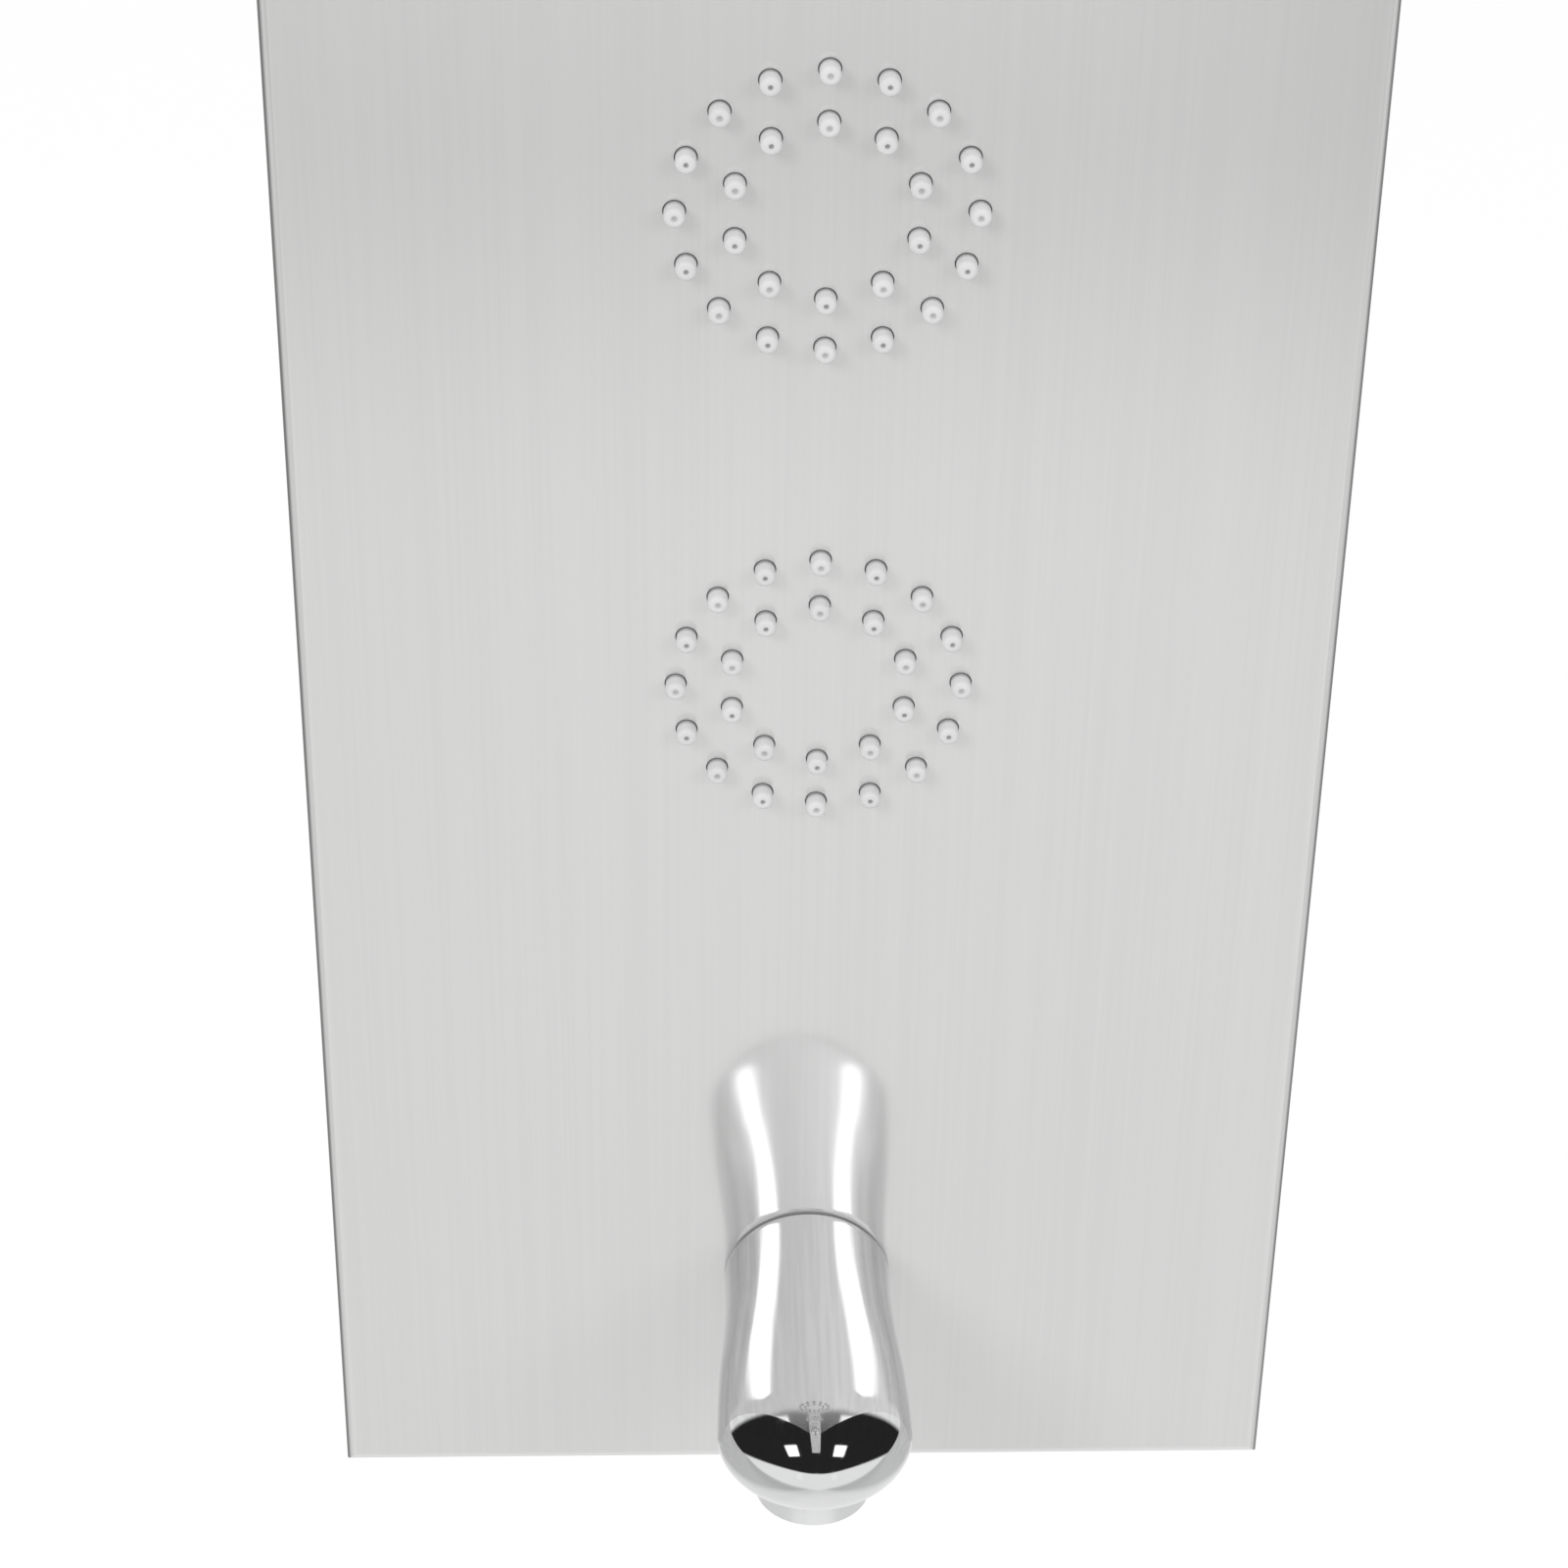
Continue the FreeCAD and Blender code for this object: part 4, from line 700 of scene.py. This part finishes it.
def nozzle_ring_group():
    """A ring of nozzles whose mouths are wide and narrow in turn."""
    g, given, end = geometry_group("nozzle_ring", [
        ("Count", "NodeSocketInt", JET_RINGS[0]), ("Circle", FLOAT, JET_RINGS[1]),
        ("Nozzle Radius", FLOAT, NOZZLE_RADIUS), ("Reach", FLOAT, NOZZLE_REACH),
    ])
    circle = g.add("GeometryNodeMeshCircle", Vertices=given["Count"])
    g.feed(circle, "Radius", g.times(given["Circle"], 0.5))
    kinds = g.add("GeometryNodeGeometryToInstance")
    for rows in (NARROW_MOUTH, WIDE_MOUTH):
        g.tree.links.new(turned_nozzle(g, rows, given["Nozzle Radius"], given["Reach"]), kinds.inputs[0])
    kind = g.math("MODULO", g.add("GeometryNodeInputIndex").outputs[0], 2.0)
    place = g.add("GeometryNodeInstanceOnPoints", Points=circle.outputs["Mesh"])
    g.feed(place, "Instance", kinds.outputs[0])
    g.feed(place, "Pick Instance", True)
    g.feed(place, "Instance Index", kind)
    g.tree.links.new(place.outputs[0], end.inputs[0])
    return g.tree


def spray_mat_group():
    """A disc of silicone with two rings of nozzles, its middle at the sheet's outer face."""
    g, given, end = geometry_group("spray_mat", [
        ("Outer Count", "NodeSocketInt", JET_RINGS[0]), ("Outer Circle", FLOAT, JET_RINGS[1]),
        ("Inner Count", "NodeSocketInt", JET_RINGS[2]), ("Inner Circle", FLOAT, JET_RINGS[3]),
        ("Margin", FLOAT, MAT_MARGIN), ("Sheet", FLOAT, SHEET), ("Thickness", FLOAT, MAT_THICKNESS),
        ("Finish", "NodeSocketMaterial", None),
    ])
    disc = g.add("GeometryNodeMeshCylinder", Vertices=MAT_SIDES, Depth=given["Thickness"])
    g.feed(disc, "Radius", g.math("ADD", g.times(given["Outer Circle"], 0.5), given["Margin"]))
    depth = g.math("ADD", given["Sheet"], g.times(given["Thickness"], 0.5))
    back = g.add("ShaderNodeCombineXYZ", Z=g.times(depth, -1.0))
    plate = g.add("GeometryNodeTransform", Geometry=disc.outputs["Mesh"], Translation=back.outputs[0])
    join = g.add("GeometryNodeJoinGeometry")
    g.tree.links.new(plate.outputs[0], join.inputs[0])
    for name in ("Outer", "Inner"):
        ring = g.tree.nodes.new("GeometryNodeGroup")
        ring.node_tree = NOZZLE_RING
        g.feed(ring, "Count", given[name + " Count"])
        g.feed(ring, "Circle", given[name + " Circle"])
        g.tree.links.new(ring.outputs[0], join.inputs[0])
    real = g.add("GeometryNodeRealizeInstances", Geometry=join.outputs[0])
    dressed = g.add("GeometryNodeSetMaterial", Geometry=real.outputs[0], Material=given["Finish"])
    g.tree.links.new(dressed.outputs[0], end.inputs[0])
    return g.tree


NOZZLE_RING = nozzle_ring_group()
SPRAY_MAT = spray_mat_group()


def grown_mesh(name, tree, inputs, turn, body):
    """Runs a geometry tree with its inputs set and keeps the result as a plain mesh in place."""
    holder = bpy.data.objects.new(name + "_grown", bpy.data.meshes.new(name + "_grown"))
    bpy.context.scene.collection.objects.link(holder)
    modifier = holder.modifiers.new("grow", "NODES")
    modifier.node_group = tree
    for item in tree.interface.items_tree:
        if item.item_type == "SOCKET" and item.in_out == "INPUT" and item.name in inputs:
            modifier[item.identifier] = inputs[item.name]
    bpy.context.view_layer.update()
    ready = holder.evaluated_get(bpy.context.evaluated_depsgraph_get())
    mesh = bpy.data.meshes.new_from_object(ready)
    bpy.data.objects.remove(holder)
    mesh.name = name
    mesh.transform(turn)
    piece = bpy.data.objects.new(name, mesh)
    bpy.context.scene.collection.objects.link(piece)
    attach(piece, body)
    return piece


def make_spray_mats():
    """The mats with their nozzles, which stand out to the front of the panel and down from the hood."""
    rows = (
        ("jet_mat_lower", Y_AXIS, 90, JET_RINGS),
        ("jet_mat_upper", Y_AXIS, 90, JET_RINGS),
        ("rain_mat", Z_AXIS, 180, RAIN_RINGS),
    )
    for node, axis, degrees, rings in rows:
        place = middle(node)
        place[axis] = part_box(node)[0][axis] + NOZZLE_REACH
        tilt = Matrix.Rotation(math.radians(degrees), 4, "X")
        turn = Matrix.Translation(place) @ tilt @ Matrix.Rotation(math.radians(90), 4, "Z")
        names = ("Outer Count", "Outer Circle", "Inner Count", "Inner Circle")
        inputs = dict(zip(names, rings), Finish=FINISHES["silicone"])
        piece = grown_mesh(node + "_nozzles", SPRAY_MAT, inputs, turn, "column")
        piece.data.shade_smooth()
        piece.data.set_sharp_from_angle(angle=SHARP_ANGLE)
        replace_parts(piece, node)


# --- Stage, light and camera ----------------------------------------------------------------------
IMAGE_SIZE = 1601
FOCAL_PIXELS = 4231.9
SENSOR_WIDTH = 36.0
CLIP = (0.01, 50.0)
CAMERA_PLACE = (-0.0290, -0.7306, -0.0211)
CAMERA_FORWARD = (0.0279, 0.8314, -0.5549)
CAMERA_UP = (0.0043, 0.5550, 0.8318)

# The room as metal sees it. A direction's height is weighed from its Y and Z.
ROOM_HEIGHT = (0.65, 0.76)
ROOM_LEVEL = 0.9
DARK_DEPTH = 0.88
# The dark part: how much further down it comes at the sides, then where it begins and is full.
DARK_HALF = (0.08, 0.01, 0.09)
DARK_CAP = (0.28, 0.45, 0.55)
# The directions' Y over which the dark half gives way to the pale back of the room.
DARK_BACK = (0.36, 0.46)
# Ray depths in the room: above the first it is seen by way of the panel, above the second by more.
SEEN_AGAIN = 2.5
SEEN_LATER = 3.5
# Patches of the room in degrees, sideways and upwards: middle, half size and softness.
BOX_PATCH = ((33, 5, 1.5), (23, 11, 2))
BOX_LEVELS = (0.97, 2.8)
DIM_PATCH = ((39, 4, 2.5), (3, 5, 4))
DIM_DEPTH = 0.38
# Levels from the left to the right of the room, by way of the panel.
SIDE_LIGHT = (-0.35, 0.35, 0.87, 1.1)
# The two lamps above, in the direction's X and Y: middle, half size and softness.
LAMP_SIDE = (0.44, 0.1, 0.02)
LAMP_FRONT = (-0.22, 0.1, 0.02)
LAMP_HEIGHT = 0.5
LAMP_LEVEL = 1.8
# What the room gives to surfaces that aren't polished.
WORLD_LIGHT = 0.62

FLOOR_Z = -1.25
FLOOR_SIZE = 30
FLOOR_GREY = (0.8, 0.8, 0.8, 1)
FLOOR_SHADOW = (0.25, 0.25, 0.25, 1)
FLOOR_GLOW = 0.82
# The floor as metal sees it: from, to and the levels there, along Y, and in X to the sides and left.
FLOOR_FRONT = 0.78
FLOOR_NEAR = (-0.75, -0.25, FLOOR_FRONT, 0.88)
FLOOR_FAR = (-2.1, -1.45, 0.74, 1.0)
FLOOR_SIDES = (0.28, 0.65, 1.0, 0.7)
FLOOR_LEFT = (-0.22, -0.06, 0.945, 1.0)
# Over one divided by the distance in front the floor comes up to the room's level; nothing
# nearer than the second counts.
FLOOR_HORIZON = (0.08, 0.5, 1.0, 0.0)
FLOOR_NEAREST = -0.1
# The spout's nose: its distance out, its height above the floor squared, and the floor it sees.
NOSE_OUT = 0.115
NOSE_HEIGHT = (0.56, 0.68, 1.0, 0.0)
NOSE_FLOOR = (-2.1, -0.95, 1.0, 0.0)
# Ray depth on the floor below which a piece mirrors it straight.
SEEN_STRAIGHT = 1.5

LIGHT_TARGET = (0, 0, -0.3)
LIGHT_SIZE = 0.9


def make_camera():
    """The camera that the photograph was taken with, solved from the panel's edges and nozzles."""
    data = bpy.data.cameras.new("camera")
    data.sensor_width = SENSOR_WIDTH
    data.lens = SENSOR_WIDTH * FOCAL_PIXELS / IMAGE_SIZE
    data.clip_start, data.clip_end = CLIP
    camera = bpy.data.objects.new("camera", data)
    bpy.context.scene.collection.objects.link(camera)
    forward = Vector(CAMERA_FORWARD).normalized()
    right = forward.cross(Vector(CAMERA_UP)).normalized()
    up = right.cross(forward)
    turn = Matrix((right, up, -forward)).transposed().to_4x4()
    camera.matrix_world = Matrix.Translation(CAMERA_PLACE) @ turn
    bpy.context.scene.camera = camera


def box_mask(g, value, centre, half, soft):
    """1 where value is within half of centre, with soft edges."""
    off = g.math("ABSOLUTE", g.math("SUBTRACT", value, centre))
    return g.remap(off, half - soft, half + soft, 1.0, 0.0)


def pick(g, choice, first, second):
    """The first value where choice is 0 and the second where it is 1."""
    return g.weigh(g.math("SUBTRACT", 1.0, choice), first, choice, second)


def room_patch(g, turn, lift, patch):
    """1 inside a patch of the room: turn and lift are the angles of a direction."""
    across, upwards = ([math.radians(angle) for angle in row] for row in patch)
    return g.times(box_mask(g, turn, *across), box_mask(g, lift, *upwards))


def room_dark(g, height, side, spread, begin, full):
    """1 in the dark upper part of the room, which comes further down at the sides."""
    return g.remap(g.math("ADD", height, g.times(side, spread)), begin, full, 0.0, 1.0)


def looked_at(path):
    """Sockets of 1 where the camera sees a surface, straight or through a clear one."""
    return path.outputs["Is Camera Ray"], path.outputs["Is Transmission Ray"]


def make_world():
    """A pale studio, dark in its upper half, with soft boxes and lamps for metal to mirror."""
    world = bpy.data.worlds.new("studio")
    world.use_nodes = True
    bpy.context.scene.world = world
    tree = world.node_tree
    tree.nodes.clear()
    g = Graph(tree)
    direction = g.add("ShaderNodeTexCoord").outputs["Generated"]
    x, y, z = g.add("ShaderNodeSeparateXYZ", Vector=direction).outputs
    side = g.math("ABSOLUTE", x)
    height = g.weigh(y, ROOM_HEIGHT[0], z, ROOM_HEIGHT[1])
    path = g.add("ShaderNodeLightPath")
    depth = path.outputs["Ray Depth"]
    # A polished piece sees the room's upper half dark, but for its back; what it sees by way of
    # the panel is dark only in a cap.
    again = g.math("GREATER_THAN", depth, SEEN_AGAIN)
    dark_once = room_dark(g, height, side, *DARK_HALF)
    dark_once = g.times(dark_once, g.remap(y, *DARK_BACK, 1.0, 0.0))
    dark = pick(g, again, dark_once, room_dark(g, height, side, *DARK_CAP))
    base = g.math("SUBTRACT", ROOM_LEVEL, g.times(dark, DARK_DEPTH))
    turn = g.math("ARCTAN2", side, g.times(y, -1.0))
    lift = g.math("ARCSINE", z)
    # By way of the panel, the room is lighter to the right, and dim at the horizon below the boxes.
    twice = g.times(again, g.math("LESS_THAN", depth, SEEN_LATER))
    shade = g.math("SUBTRACT", 1.0, g.times(room_patch(g, turn, lift, DIM_PATCH), DIM_DEPTH))
    shade = g.times(shade, g.remap(x, *SIDE_LIGHT))
    base = g.times(base, pick(g, twice, 1.0, shade))
    # Two soft boxes in front, at full brightness only by way of the panel, and two lamps above.
    boxes = g.times(room_patch(g, turn, lift, BOX_PATCH), g.math("LESS_THAN", y, 0.0))
    boxes = g.times(boxes, pick(g, again, *BOX_LEVELS))
    lamps = g.times(box_mask(g, side, *LAMP_SIDE), box_mask(g, y, *LAMP_FRONT))
    lamps = g.times(lamps, g.math("GREATER_THAN", z, LAMP_HEIGHT), LAMP_LEVEL)
    level = g.math("MAXIMUM", base, g.math("MAXIMUM", boxes, lamps))
    strength = pick(g, path.outputs["Is Glossy Ray"], WORLD_LIGHT, level)
    strength = g.math("MAXIMUM", strength, g.math("MAXIMUM", *looked_at(path)))
    background = g.add("ShaderNodeBackground", Color=WHITE, Strength=strength)
    output = g.add("ShaderNodeOutputWorld")
    tree.links.new(background.outputs[0], output.inputs["Surface"])


def mix_shaders(g, factor, first, second):
    """The first shader where the factor is 0 and the second where it is 1."""
    node = g.add("ShaderNodeMixShader")
    for index, source in enumerate((factor, first, second)):
        g.feed(node, str(index), source)
    return node.outputs[0]


def make_floor():
    """A pale floor far below the column, clear from underneath, with levels of its own in metal."""
    bpy.ops.mesh.primitive_plane_add(size=FLOOR_SIZE, location=(0, 0, FLOOR_Z))
    floor = bpy.context.object
    floor.name = "floor"
    material = bpy.data.materials.new("floor")
    material.use_nodes = True
    tree = material.node_tree
    tree.nodes.clear()
    g = Graph(tree)
    lit = g.add("ShaderNodeBsdfDiffuse", Color=FLOOR_GREY)
    faint = g.add("ShaderNodeBsdfDiffuse", Color=FLOOR_SHADOW)
    glow = g.add("ShaderNodeEmission", Color=WHITE, Strength=FLOOR_GLOW)
    pale = g.add("ShaderNodeAddShader")
    tree.links.new(faint.outputs[0], pale.inputs[0])
    tree.links.new(glow.outputs[0], pale.inputs[1])
    # What metal sees of the floor falls off in front of the column and to its sides.
    x, y = g.object_place()[:2]
    side = g.math("ABSOLUTE", x)
    near = g.remap(y, *FLOOR_NEAR)
    far = g.remap(y, *FLOOR_FAR)
    lowness = g.math("DIVIDE", -1.0, g.math("MINIMUM", y, FLOOR_NEAREST))
    horizon = g.remap(lowness, *FLOOR_HORIZON, smooth=False)
    far = pick(g, horizon, far, ROOM_LEVEL / FLOOR_FRONT)
    wide = g.times(g.remap(side, *FLOOR_SIDES), g.remap(x, *FLOOR_LEFT))
    path = g.add("ShaderNodeLightPath")
    # The spout's nose, low over the floor, sees its far part as light as the room behind.
    out = g.math("ADD", y, NOSE_OUT)
    flat = g.math("ADD", g.times(out, out), g.times(side, side))
    length = path.outputs["Ray Length"]
    climb = g.math("SUBTRACT", g.times(length, length), flat)
    low = g.times(g.remap(climb, *NOSE_HEIGHT), g.remap(y, *NOSE_FLOOR))
    low = g.times(low, g.math("LESS_THAN", path.outputs["Ray Depth"], SEEN_STRAIGHT))
    strength = pick(g, low, g.times(near, far, wide), ROOM_LEVEL)
    mirrored = g.add("ShaderNodeEmission", Color=WHITE, Strength=strength)
    above = mix_shaders(g, path.outputs["Is Glossy Ray"], lit.outputs[0], mirrored.outputs[0])
    above = mix_shaders(g, g.math("MAXIMUM", *looked_at(path)), above, pale.outputs[0])
    clear = g.add("ShaderNodeBsdfTransparent")
    backfacing = g.add("ShaderNodeNewGeometry").outputs["Backfacing"]
    whole = mix_shaders(g, backfacing, above, clear.outputs[0])
    output = g.add("ShaderNodeOutputMaterial")
    tree.links.new(whole, output.inputs["Surface"])
    floor.data.materials.append(material)


def area_lamp(name, place, power):
    """A square lamp aimed at the column that neither the camera nor metal sees."""
    data = bpy.data.lights.new(name, "AREA")
    data.shape = "RECTANGLE"
    data.size = LIGHT_SIZE
    data.size_y = LIGHT_SIZE
    data.energy = power
    lamp = bpy.data.objects.new(name, data)
    bpy.context.scene.collection.objects.link(lamp)
    aim = (Vector(LIGHT_TARGET) - Vector(place)).to_track_quat("-Z", "Y")
    lamp.matrix_world = Matrix.Translation(place) @ aim.to_matrix().to_4x4()
    lamp.visible_glossy = False
    lamp.visible_camera = False


def make_lights():
    """Light on the surfaces that aren't polished, stronger from the left."""
    area_lamp("key_left", (-1.4, -1.6, 1.1), power=22)
    area_lamp("fill_right", (1.5, -1.5, 0.6), power=10)


# --- Build ----------------------------------------------------------------------------------------
finish_nodes()
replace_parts(make_spout(), "spout_body")
make_spray_mats()
make_camera()
make_world()
make_floor()
make_lights()
bpy.context.scene.view_settings.view_transform = "Standard"
